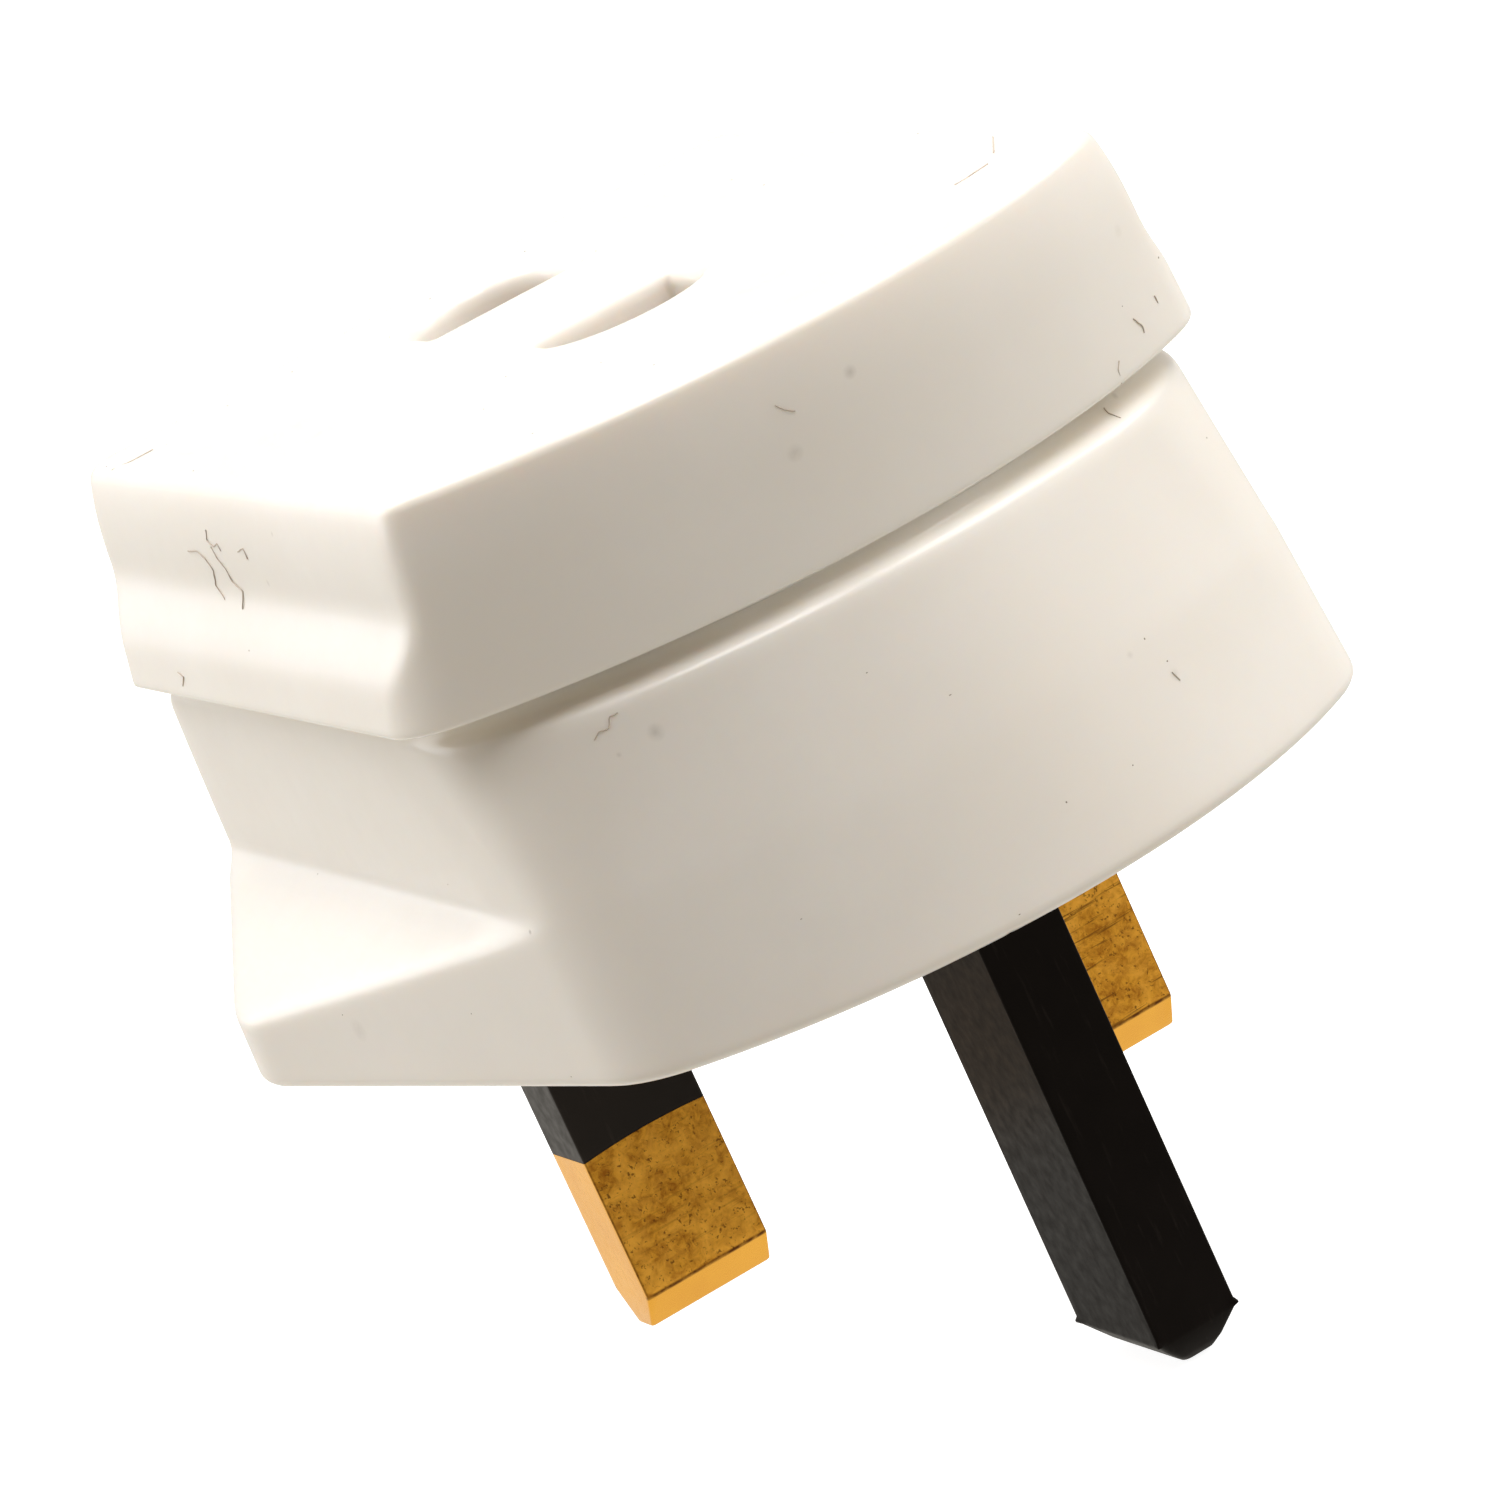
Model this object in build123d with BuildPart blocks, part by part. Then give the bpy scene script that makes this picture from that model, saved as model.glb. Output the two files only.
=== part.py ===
from build123d import *
from math import sqrt
import os

os.makedirs("parts", exist_ok=True)

# Shaver adapter plug: three flat pins below, a two-slot shaver socket in the cover above.
# Origin: middle of the line between the two current pins, on the pin face.
# +X from the live pin to the neutral pin, -Y towards the earth pin, +Z towards the socket face.
# All sizes in millimetres.

# Overall heights
height_total = 26.1
joint_z = 16.3
neck_z = 15.5
mid_z = 7.6
floor_t = 3.0
roof_z = 24.1
lip_z = 14.4

# Foot outline, the widest part of the base
foot_back_x = 19.2
foot_wide_x = 25.2
foot_wide_y = 1.5
foot_corner_x = 18.8
foot_corner_y = -25.5
foot_apex = -35.0
foot_back_y = 13.5

# Outline where the flare of the foot ends
mid_back_x = 19.0
mid_wide_x = 24.9
mid_corner_x = 18.5
mid_corner_y = -24.5
mid_apex = -33.7

# Upper body outlines
shoulder_x = 18.78
shoulder_apex = -32.1
grip_x = 18.6
grip_z = 7.2
grip_slope = 0.61
grip_out = 32.0
foot_bevel = 0.5
shoulder_bevel = 0.5
cover_low_x = 19.8
cover_low_apex = -32.0
cover_top_x = 17.9
cover_top_apex = -33.6
cover_back_y = 13.5
valley_x = 18.1
valley_z = 20.9
top_bevel = 0.5
rim_bevel = 0.3
neck_x = 18.5
neck_back_y = 12.6
neck_apex = -30.9

# Walls
cavity_x = 16.4
cavity_back_y = 11.5
cavity_apex = -29.2

# Current pins
pin_pitch = 22.2
pin_w = 6.35
pin_t = 4.0
pin_len = 17.7
pin_chamfer_h = 1.6
pin_end_t = 1.6
sleeve_len = 9.2
shank_w = 5.35
shank_t = 3.0
sleeve_in = 1.2
flange_w = 8.4
flange_t = 6.0
flange_h = 1.2
pin_top = 5.0
live_x = -11.1
neutral_x = 11.1

# Earth pin, insulated, opens the socket shutters only
earth_y = -22.2
earth_w = 4.0
earth_t = 8.0
earth_len = 23.0
earth_taper = 1.5
earth_in_x = 1.2
earth_in_y = 1.0
flange_e_w = 6.4
flange_e_t = 10.4

# Shaver socket
socket_y = -4.6
slot_in = 5.4
slot_c = 8.3
slot_r = 3.5
slot_bevel = 0.75
slot_depth = 0.9
shroud_t = 1.0
shroud_z = 8.6
boss_r = 3.0
leaf_t = 0.5
leaf_w = 3.2
leaf_in = 2.55
leaf_top = 23.0
leaf_lip = 0.1
tail_z = 5.5

# Screw and fuse
screw_d = 3.5
screw_top = 20.0
head_d = 6.4
head_seat = 2.4
head_h = 1.9
post_top = 8.4
fuse_d = 6.3
fuse_len = 25.4
fuse_x = -9.6
fuse_y = -11.7
fuse_z = 9.0
cap_len = 6.2
cap_t = 0.3
clip_t = 0.5
clip_z = 5.0
clip_half = 3.68


# Corner rounding between two straight lines: start, middle and end point
def round_corner(p, c, n, r):
    u = Vector(p[0] - c[0], p[1] - c[1]).normalized()
    v = Vector(n[0] - c[0], n[1] - c[1]).normalized()
    cos_a = u.dot(v)
    half = sqrt((1 + cos_a) / 2)
    sin_half = sqrt((1 - cos_a) / 2)
    leg = r * half / sin_half
    w = (u + v).normalized()
    centre = Vector(c[0], c[1]) + w * (r / sin_half)
    middle = centre - w * r
    start = Vector(c[0], c[1]) + u * leg
    end = Vector(c[0], c[1]) + v * leg
    return (start.X, start.Y), (middle.X, middle.Y), (end.X, end.Y)


# Corner rounding between a straight side and the big front arc
def round_front(a, b, apex, big_r, r):
    d = Vector(b[0] - a[0], b[1] - a[1]).normalized()
    n = Vector(d.Y, -d.X)
    if n.X > 0:
        n = n * -1
    o = Vector(0, apex + big_r)
    p = Vector(a[0], a[1]) + n * r
    q = p - o
    half_b = q.dot(d)
    rest = q.dot(q) - (big_r - r) ** 2
    t = -half_b + sqrt(half_b * half_b - rest)
    c = p + d * t
    start = c - n * r
    out = (c - o).normalized()
    end = o + out * big_r
    mid_dir = ((start - c).normalized() + out).normalized()
    middle = c + mid_dir * r
    return (start.X, start.Y), (middle.X, middle.Y), (end.X, end.Y)


# Shield outline with the same fourteen edges at every height
def shield(back_y, back_x, wide, corner, apex, big_r, r_back, r_front, r_wide):
    back = (back_x, back_y)
    b1, b2, b3 = round_corner((0, back_y), back, wide, r_back)
    f1, f2, f3 = round_front(wide, corner, apex, big_r, r_front)
    if r_wide > 0:
        w1, w2, w3 = round_corner(back, wide, corner, r_wide)
    else:
        w1 = (wide[0], wide[1] + 2)
        w3 = (wide[0], wide[1] - 2)
    m = lambda p: (-p[0], p[1])
    Line((m(b1)), b1)
    ThreePointArc(b1, b2, b3)
    Line(b3, w1)
    if r_wide > 0:
        ThreePointArc(w1, w2, w3)
    else:
        Line(w1, w3)
    Line(w3, f1)
    ThreePointArc(f1, f2, f3)
    ThreePointArc(f3, (0, apex), m(f3))
    ThreePointArc(m(f3), m(f2), m(f1))
    Line(m(f1), m(w3))
    if r_wide > 0:
        ThreePointArc(m(w3), m(w2), m(w1))
    else:
        Line(m(w3), m(w1))
    Line(m(w1), m(b3))
    ThreePointArc(m(b3), m(b2), m(b1))


def plain(x, back_y, apex, big_r, r_back, r_front):
    shield(back_y, x, (x, -3.0), (x, -20.0), apex, big_r, r_back, r_front, 0)


# Slot outline: straight side towards the middle of the socket, round side outwards
def slot_line(side, grow):
    w = slot_r + grow
    y_in = socket_y + side * (slot_in - grow)
    y_c = socket_y + side * slot_c
    y_out = y_c + side * w
    Line((-w, y_in), (w, y_in))
    Line((w, y_in), (w, y_c))
    ThreePointArc((w, y_c), (0, y_out), (-w, y_c))
    Line((-w, y_c), (-w, y_in))


# Base: hollow lower shell with the pin face, finger grips and the joint neck
with BuildPart() as base:
    with BuildSketch(Plane.XY):
        with BuildLine():
            wide = (foot_wide_x, foot_wide_y)
            corner = (foot_corner_x, foot_corner_y)
            shield(foot_back_y, foot_back_x, wide, corner, foot_apex, 26.0, 2.0, 7.0, 6.0)
        make_face()
    with BuildSketch(Plane.XY.offset(mid_z)):
        with BuildLine():
            wide = (mid_wide_x, foot_wide_y)
            corner = (mid_corner_x, mid_corner_y)
            shield(foot_back_y, mid_back_x, wide, corner, mid_apex, 26.5, 2.0, 8.5, 6.0)
        make_face()
    loft(ruled=True)
    with BuildSketch(Plane.XY.offset(mid_z)):
        with BuildLine():
            wide = (mid_wide_x, foot_wide_y)
            corner = (mid_corner_x, mid_corner_y)
            shield(foot_back_y, mid_back_x, wide, corner, mid_apex, 26.5, 2.0, 8.5, 6.0)
        make_face()
    with BuildSketch(Plane.XY.offset(neck_z)):
        with BuildLine():
            plain(shoulder_x, foot_back_y, shoulder_apex, 27.5, 2.0, 12.0)
        make_face()
    loft(ruled=True)
    # Finger grips: flat side walls that run out onto a sloping foot
    with BuildSketch(Plane.XZ.offset(-30)):
        for s in (-1, 1):
            with BuildLine():
                grip_low = grip_z - grip_slope * (grip_out - grip_x)
                Polyline((s * grip_x, joint_z + 1), (s * grip_x, grip_z), (s * grip_out, grip_low),
                         (s * grip_out, joint_z + 1), close=True)
            make_face()
        inner = vertices().filter_by_position(Axis.X, -grip_x - 0.01, grip_x + 0.01)
        fillet(inner.sort_by(Axis.Y)[:2], 1.6)
    extrude(amount=80, mode=Mode.SUBTRACT)
    chamfer(edges().group_by(Axis.Z)[0], foot_bevel)
    # Eased shoulder under the joint groove
    chamfer(edges().group_by(Axis.Z)[-1].filter_by_position(Axis.Y, -40, -15), shoulder_bevel)
    # Neck that the cover sits on
    with BuildSketch(Plane.XY.offset(neck_z - 1)):
        with BuildLine():
            plain(neck_x, neck_back_y, neck_apex, 27.0, 1.4, 11.0)
        make_face()
    extrude(amount=joint_z - neck_z + 1)
    # Inside
    with BuildSketch(Plane.XY.offset(floor_t)):
        with BuildLine():
            plain(cavity_x, cavity_back_y, cavity_apex, 25.0, 1.2, 6.0)
        make_face()
    extrude(amount=joint_z, mode=Mode.SUBTRACT)
    # Screw post
    with Locations((0, socket_y, floor_t)):
        Cylinder(4.2, post_top - floor_t, align=(Align.CENTER, Align.CENTER, Align.MIN))
    chamfer(edges().filter_by(GeomType.CIRCLE).group_by(Axis.Z)[-1], 0.3)
    # Pin seats: raised frames around the pin flanges
    with Locations((live_x, 0, floor_t), (neutral_x, 0, floor_t)):
        Box(flange_w + 2.2, flange_t + 2.2, 1.4, align=(Align.CENTER, Align.CENTER, Align.MIN))
    with Locations((0, earth_y, floor_t)):
        Box(flange_e_w + 2.2, flange_e_t + 2.2, 1.4, align=(Align.CENTER, Align.CENTER, Align.MIN))
    with Locations((live_x, 0, floor_t), (neutral_x, 0, floor_t)):
        Box(flange_w + 0.1, flange_t + 0.1, 5, align=(Align.CENTER, Align.CENTER, Align.MIN),
            mode=Mode.SUBTRACT)
    with Locations((0, earth_y, floor_t)):
        Box(flange_e_w + 0.1, flange_e_t + 0.1, 5, align=(Align.CENTER, Align.CENTER, Align.MIN),
            mode=Mode.SUBTRACT)
    # Pin holes through the floor
    with Locations((live_x, 0, -1), (neutral_x, 0, -1)):
        Box(pin_w, pin_t, sleeve_in + 1, align=(Align.CENTER, Align.CENTER, Align.MIN), mode=Mode.SUBTRACT)
        Box(shank_w, shank_t, 6, align=(Align.CENTER, Align.CENTER, Align.MIN), mode=Mode.SUBTRACT)
    with Locations((0, earth_y, -1)):
        Box(earth_w, earth_t, 6, align=(Align.CENTER, Align.CENTER, Align.MIN), mode=Mode.SUBTRACT)
    # Screw hole with the countersink on the pin face
    with Locations((0, socket_y, -1)):
        Cylinder(screw_d / 2 + 0.2, 12, align=(Align.CENTER, Align.CENTER, Align.MIN),
                 mode=Mode.SUBTRACT)
        Cylinder(head_d / 2 + 0.25, 1 + head_seat, align=(Align.CENTER, Align.CENTER, Align.MIN),
                 mode=Mode.SUBTRACT)
    # Cradle cheeks under the fuse
    for cy in (fuse_y - 4, fuse_y + 4):
        with Locations((fuse_x, cy, floor_t)):
            Box(7.4, 1.4, fuse_z - floor_t - 1.0, align=(Align.CENTER, Align.CENTER, Align.MIN))
        with Locations((fuse_x, cy, fuse_z)):
            Cylinder(fuse_d / 2 + 0.1, 3, rotation=(90, 0, 0), mode=Mode.SUBTRACT)
    # Seats under the outer fuse clip and the contact tails
    with Locations((fuse_x, fuse_y - 10.2, floor_t)):
        Box(7.0, 4.4, clip_z - floor_t, align=(Align.CENTER, Align.CENTER, Align.MIN))
    with Locations((-5.0, -18.6, floor_t)):
        Box(1.6, 4.6, tail_z - floor_t, align=(Align.CENTER, Align.CENTER, Align.MIN))
    with Locations((0, 8.6, floor_t)):
        Box(3.0, 2.8, clip_z - floor_t, align=(Align.CENTER, Align.CENTER, Align.MIN))
base.part.label = "base"
export_step(base.part, "parts/base.step")

# Cover: upper shell with the socket face, two slots and their shrouds
with BuildPart() as cover:
    for z, e in ((joint_z, rim_bevel), (joint_z + rim_bevel, 0)):
        with BuildSketch(Plane.XY.offset(z)):
            with BuildLine():
                plain(cover_low_x - e, cover_back_y - e, cover_low_apex + e, 28.0 - e, 2.0 - e, 5.5 - e)
            make_face()
    for z, e in ((height_total - top_bevel, 0), (height_total, top_bevel)):
        with BuildSketch(Plane.XY.offset(z)):
            with BuildLine():
                plain(cover_top_x - e, cover_back_y - e, cover_top_apex + e, 26.0 - e, 2.0 - e, 3.2 - e)
            make_face()
    loft(ruled=True)
    # Finger valleys along both sides
    with BuildSketch(Plane.XZ.offset(-30)):
        for s in (-1, 1):
            with BuildLine():
                Polyline((s * (cover_top_x + 0.05), height_total + 0.5), (s * valley_x, valley_z),
                         (s * (cover_low_x + 0.1), valley_z - 2.7), (s * 24, valley_z - 2.7),
                         (s * 24, height_total + 0.5), close=True)
            make_face()
        low = vertices().filter_by_position(Axis.X, -valley_x - 0.01, valley_x + 0.01)
        low = low.filter_by_position(Axis.Y, valley_z - 0.1, valley_z + 0.1)
        fillet(low, 1.5)
    extrude(amount=80, mode=Mode.SUBTRACT)
    # Inside and locating lip
    with BuildSketch(Plane.XY.offset(joint_z)):
        with BuildLine():
            plain(16.0, 11.4, -29.0, 24.0, 1.2, 5.5)
        make_face()
    extrude(amount=roof_z - joint_z, mode=Mode.SUBTRACT)
    with BuildSketch(Plane.XY.offset(lip_z)):
        with BuildLine():
            plain(cavity_x - 0.15, cavity_back_y - 0.15, cavity_apex + 0.15, 24.9, 1.1, 5.9)
        make_face()
        with BuildLine():
            plain(cavity_x - 1.25, cavity_back_y - 1.25, cavity_apex + 1.25, 23.8, 0.6, 4.8)
        make_face(mode=Mode.SUBTRACT)
    extrude(amount=joint_z + 1.0 - lip_z)
    # Slot shrouds and the screw boss
    with BuildSketch(Plane.XY.offset(shroud_z)):
        for s in (-1, 1):
            with BuildLine():
                slot_line(s, shroud_t)
            make_face()
        with Locations((0, socket_y)):
            Circle(boss_r)
    extrude(amount=roof_z - shroud_z)
    with BuildSketch(Plane.XY.offset(shroud_z - 1)):
        for s in (-1, 1):
            with BuildLine():
                slot_line(s, 0)
            make_face()
    extrude(amount=height_total, mode=Mode.SUBTRACT)
    with Locations((0, socket_y, shroud_z - 1)):
        Cylinder(screw_d / 2 + 0.05, screw_top - shroud_z + 1.6,
                 align=(Align.CENTER, Align.CENTER, Align.MIN), mode=Mode.SUBTRACT)
    # Sloping lead-in around each slot
    for s in (-1, 1):
        with BuildSketch(Plane.XY.offset(height_total)):
            with BuildLine():
                slot_line(s, slot_bevel)
            make_face()
        with BuildSketch(Plane.XY.offset(height_total - slot_depth)):
            with BuildLine():
                slot_line(s, 0)
            make_face()
        loft(ruled=True, mode=Mode.SUBTRACT)
cover.part.label = "cover"
export_step(cover.part, "parts/cover.step")

# Current pins: full section at the end, slimmer shank inside the sleeve, flange in the base
with BuildPart() as pin_live:
    with BuildSketch(Plane.YZ.offset(live_x - pin_w / 2)):
        with BuildLine():
            Polyline((-pin_end_t / 2, -pin_len), (pin_end_t / 2, -pin_len),
                     (pin_t / 2, pin_chamfer_h - pin_len), (pin_t / 2, -sleeve_len),
                     (-pin_t / 2, -sleeve_len), (-pin_t / 2, pin_chamfer_h - pin_len), close=True)
        make_face()
    extrude(amount=pin_w)
    with Locations((live_x, 0, -sleeve_len)):
        Box(shank_w, shank_t, sleeve_len + pin_top, align=(Align.CENTER, Align.CENTER, Align.MIN))
    with Locations((live_x, 0, floor_t)):
        Box(flange_w, flange_t, flange_h, align=(Align.CENTER, Align.CENTER, Align.MIN))
pin_live.part.label = "pin_live"
export_step(pin_live.part, "parts/pin_live.step")

with BuildPart() as pin_neutral:
    with BuildSketch(Plane.YZ.offset(neutral_x - pin_w / 2)):
        with BuildLine():
            Polyline((-pin_end_t / 2, -pin_len), (pin_end_t / 2, -pin_len),
                     (pin_t / 2, pin_chamfer_h - pin_len), (pin_t / 2, -sleeve_len),
                     (-pin_t / 2, -sleeve_len), (-pin_t / 2, pin_chamfer_h - pin_len), close=True)
        make_face()
    extrude(amount=pin_w)
    with Locations((neutral_x, 0, -sleeve_len)):
        Box(shank_w, shank_t, sleeve_len + pin_top, align=(Align.CENTER, Align.CENTER, Align.MIN))
    with Locations((neutral_x, 0, floor_t)):
        Box(flange_w, flange_t, flange_h, align=(Align.CENTER, Align.CENTER, Align.MIN))
pin_neutral.part.label = "pin_neutral"
export_step(pin_neutral.part, "parts/pin_neutral.step")

# Insulating sleeves, flush with the pins
with BuildPart() as sleeve_live:
    with Locations((live_x, 0, -sleeve_len)):
        Box(pin_w, pin_t, sleeve_len + sleeve_in, align=(Align.CENTER, Align.CENTER, Align.MIN))
        Box(shank_w, shank_t, sleeve_len + sleeve_in, align=(Align.CENTER, Align.CENTER, Align.MIN),
            mode=Mode.SUBTRACT)
sleeve_live.part.label = "sleeve_live"
export_step(sleeve_live.part, "parts/sleeve_live.step")

with BuildPart() as sleeve_neutral:
    with Locations((neutral_x, 0, -sleeve_len)):
        Box(pin_w, pin_t, sleeve_len + sleeve_in, align=(Align.CENTER, Align.CENTER, Align.MIN))
        Box(shank_w, shank_t, sleeve_len + sleeve_in, align=(Align.CENTER, Align.CENTER, Align.MIN),
            mode=Mode.SUBTRACT)
sleeve_neutral.part.label = "sleeve_neutral"
export_step(sleeve_neutral.part, "parts/sleeve_neutral.step")

# Earth pin: moulded in insulating material, tapered on all four sides at the tip
with BuildPart() as earth_pin:
    with BuildSketch(Plane.XY.offset(-earth_len)):
        with Locations((0, earth_y)):
            Rectangle(earth_w - 2 * earth_in_x, earth_t - 2 * earth_in_y)
    with BuildSketch(Plane.XY.offset(earth_taper - earth_len)):
        with Locations((0, earth_y)):
            Rectangle(earth_w, earth_t)
    loft(ruled=True)
    with Locations((0, earth_y, earth_taper - earth_len)):
        Box(earth_w, earth_t, earth_len - earth_taper + floor_t,
            align=(Align.CENTER, Align.CENTER, Align.MIN))
    with Locations((0, earth_y, floor_t)):
        Box(flange_e_w, flange_e_t, flange_h, align=(Align.CENTER, Align.CENTER, Align.MIN))
earth_pin.part.label = "earth_pin"
export_step(earth_pin.part, "parts/earth_pin.step")

# Socket contacts: a spring leaf in each slot and a tail to the fuse clip or the neutral pin
near_y = socket_y - slot_c - leaf_in
far_y = socket_y + slot_c + leaf_in
with BuildPart() as contact_live:
    with BuildSketch(Plane.YZ.offset(-leaf_w / 2)):
        with BuildLine():
            Polyline((near_y, tail_z), (near_y, leaf_top - 2.0), (near_y - 0.3, leaf_top),
                     (near_y - 0.3 - leaf_lip, leaf_top), (near_y - leaf_t, leaf_top - 2.0),
                     (near_y - leaf_t, tail_z), close=True)
        make_face()
    extrude(amount=leaf_w)
    with BuildSketch(Plane.XY.offset(tail_z)):
        with BuildLine():
            Polyline((leaf_w / 2, near_y), (leaf_w / 2, -17.6), (-2.4, -19.4), (fuse_x + clip_half, -20.6),
                     (fuse_x + clip_half, -16.6), (-leaf_w / 2, near_y), close=True)
        make_face()
    extrude(amount=leaf_t)
contact_live.part.label = "contact_live"
export_step(contact_live.part, "parts/contact_live.step")

with BuildPart() as contact_neutral:
    with BuildSketch(Plane.YZ.offset(-leaf_w / 2)):
        with BuildLine():
            Polyline((far_y, clip_z), (far_y, leaf_top - 2.0), (far_y + 0.3, leaf_top),
                     (far_y + 0.3 + leaf_lip, leaf_top), (far_y + leaf_t, leaf_top - 2.0),
                     (far_y + leaf_t, clip_z), close=True)
        make_face()
    extrude(amount=leaf_w)
    with BuildSketch(Plane.XY.offset(clip_z)):
        with BuildLine():
            Polyline((-leaf_w / 2, far_y), (-leaf_w / 2, 9.8), (10.4, 9.8), (13.0, 7.2), (13.0, -1.5),
                     (9.2, -1.5), (9.2, far_y), close=True)
        make_face()
    extrude(amount=leaf_t)
contact_neutral.part.label = "contact_neutral"
export_step(contact_neutral.part, "parts/contact_neutral.step")

# Fuse: ceramic tube with two end caps
with BuildPart() as fuse_tube:
    with Locations((fuse_x, fuse_y, fuse_z)):
        Cylinder(fuse_d / 2 - cap_t, fuse_len - 2 * cap_t, rotation=(90, 0, 0))
fuse_tube.part.label = "fuse_tube"
export_step(fuse_tube.part, "parts/fuse_tube.step")

with BuildPart() as fuse_cap_live:
    with Locations((fuse_x, fuse_y + fuse_len / 2 - cap_len / 2, fuse_z)):
        Cylinder(fuse_d / 2, cap_len, rotation=(90, 0, 0))
    chamfer(edges().group_by(Axis.Y)[-1], 0.25)
    with Locations((fuse_x, fuse_y, fuse_z)):
        Cylinder(fuse_d / 2 - cap_t, fuse_len - 2 * cap_t, rotation=(90, 0, 0), mode=Mode.SUBTRACT)
fuse_cap_live.part.label = "fuse_cap_live"
export_step(fuse_cap_live.part, "parts/fuse_cap_live.step")

with BuildPart() as fuse_cap_load:
    with Locations((fuse_x, fuse_y - fuse_len / 2 + cap_len / 2, fuse_z)):
        Cylinder(fuse_d / 2, cap_len, rotation=(90, 0, 0))
    chamfer(edges().group_by(Axis.Y)[0], 0.25)
    with Locations((fuse_x, fuse_y, fuse_z)):
        Cylinder(fuse_d / 2 - cap_t, fuse_len - 2 * cap_t, rotation=(90, 0, 0), mode=Mode.SUBTRACT)
fuse_cap_load.part.label = "fuse_cap_load"
export_step(fuse_cap_load.part, "parts/fuse_cap_load.step")


# Fuse clip profile: open spring channel around an end cap
def clip_line():
    a = fuse_d / 2 + 0.03
    b = a + clip_t
    top = fuse_z + 3.2
    Polyline((fuse_x - b, clip_z), (fuse_x + b, clip_z), (fuse_x + b, top - 1), (fuse_x + b + 0.7, top),
             (fuse_x + b + 0.1, top), (fuse_x + a, top - 1), (fuse_x + a, clip_z + clip_t),
             (fuse_x - a, clip_z + clip_t), (fuse_x - a, top - 1), (fuse_x - b - 0.1, top),
             (fuse_x - b - 0.7, top), (fuse_x - b, top - 1), close=True)


with BuildPart() as clip_live:
    with BuildSketch(Plane.XZ.offset(-1.4)):
        with BuildLine():
            clip_line()
        make_face()
    extrude(amount=6.0)
clip_live.part.label = "clip_live"
export_step(clip_live.part, "parts/clip_live.step")

with BuildPart() as clip_load:
    with BuildSketch(Plane.XZ.offset(18.9)):
        with BuildLine():
            clip_line()
        make_face()
    extrude(amount=5.2)
clip_load.part.label = "clip_load"
export_step(clip_load.part, "parts/clip_load.step")

# Cover screw, driven from the pin face
with BuildPart() as cover_screw:
    with Locations((0, socket_y, head_seat)):
        Cylinder(screw_d / 2, screw_top - head_seat - 2.5, align=(Align.CENTER, Align.CENTER, Align.MIN))
    with Locations((0, socket_y, screw_top - 2.5)):
        Cone(screw_d / 2, 0.6, 2.5, align=(Align.CENTER, Align.CENTER, Align.MIN))
    with Locations((0, socket_y, head_seat - head_h)):
        Cylinder(head_d / 2, head_h, align=(Align.CENTER, Align.CENTER, Align.MIN))
    chamfer(edges().group_by(Axis.Z)[0], 0.6)
    with Locations((0, socket_y, head_seat - head_h)):
        Box(head_d, 1.0, 0.9, align=(Align.CENTER, Align.CENTER, Align.MIN), mode=Mode.SUBTRACT)
        Box(1.0, 3.6, 0.9, align=(Align.CENTER, Align.CENTER, Align.MIN), mode=Mode.SUBTRACT)
cover_screw.part.label = "cover_screw"
export_step(cover_screw.part, "parts/cover_screw.step")
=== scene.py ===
import math

import bmesh
import bpy
import numpy as np
from bpy.props import FloatProperty, FloatVectorProperty, IntProperty, PointerProperty
from mathutils import Euler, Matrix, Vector
from mathutils.bvhtree import BVHTree


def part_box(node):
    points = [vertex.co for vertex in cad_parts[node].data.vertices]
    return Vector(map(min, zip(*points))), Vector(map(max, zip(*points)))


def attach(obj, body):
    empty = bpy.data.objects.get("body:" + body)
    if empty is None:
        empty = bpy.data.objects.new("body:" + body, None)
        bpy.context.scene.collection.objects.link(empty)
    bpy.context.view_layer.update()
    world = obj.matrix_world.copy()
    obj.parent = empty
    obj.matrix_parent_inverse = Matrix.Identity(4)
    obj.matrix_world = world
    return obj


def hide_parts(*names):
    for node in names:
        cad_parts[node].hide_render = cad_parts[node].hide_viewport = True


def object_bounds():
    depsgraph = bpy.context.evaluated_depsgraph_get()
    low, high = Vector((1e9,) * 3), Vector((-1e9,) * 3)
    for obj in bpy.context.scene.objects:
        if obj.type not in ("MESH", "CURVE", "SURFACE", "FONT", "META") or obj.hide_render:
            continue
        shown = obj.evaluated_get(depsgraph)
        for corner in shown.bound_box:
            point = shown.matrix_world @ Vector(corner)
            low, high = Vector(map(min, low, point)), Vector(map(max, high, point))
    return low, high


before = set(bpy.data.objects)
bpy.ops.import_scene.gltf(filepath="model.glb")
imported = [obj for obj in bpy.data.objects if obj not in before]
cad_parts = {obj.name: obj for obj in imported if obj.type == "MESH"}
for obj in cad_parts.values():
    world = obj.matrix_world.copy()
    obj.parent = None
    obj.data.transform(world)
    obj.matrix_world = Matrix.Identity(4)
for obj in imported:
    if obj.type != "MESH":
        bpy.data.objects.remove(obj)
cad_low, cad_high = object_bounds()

bl_info = {
    "name": "Shaver adapter plug",
    "version": (1, 0, 0),
    "blender": (4, 5, 0),
    "location": "3D View > Sidebar > Adapter",
    "description": "Builds a moulded shaver adapter with three pins, its fuse, contacts and studio stage",
    "category": "Object",
}

MM = 0.001


def node_top(name):
    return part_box(name)[1][2]


# Settings

def length(name, text, size):
    return FloatProperty(name=name, description=text, default=size, unit="LENGTH")


def level(name, text, value):
    return FloatProperty(name=name, description=text, default=value)


def power(name, text, watts):
    return FloatProperty(name=name, description=text, default=watts, unit="POWER")


def tint(name, text, value):
    return FloatVectorProperty(name=name, description=text, default=value, subtype="COLOR", size=3,
                               min=0.0, max=1.0)


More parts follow.
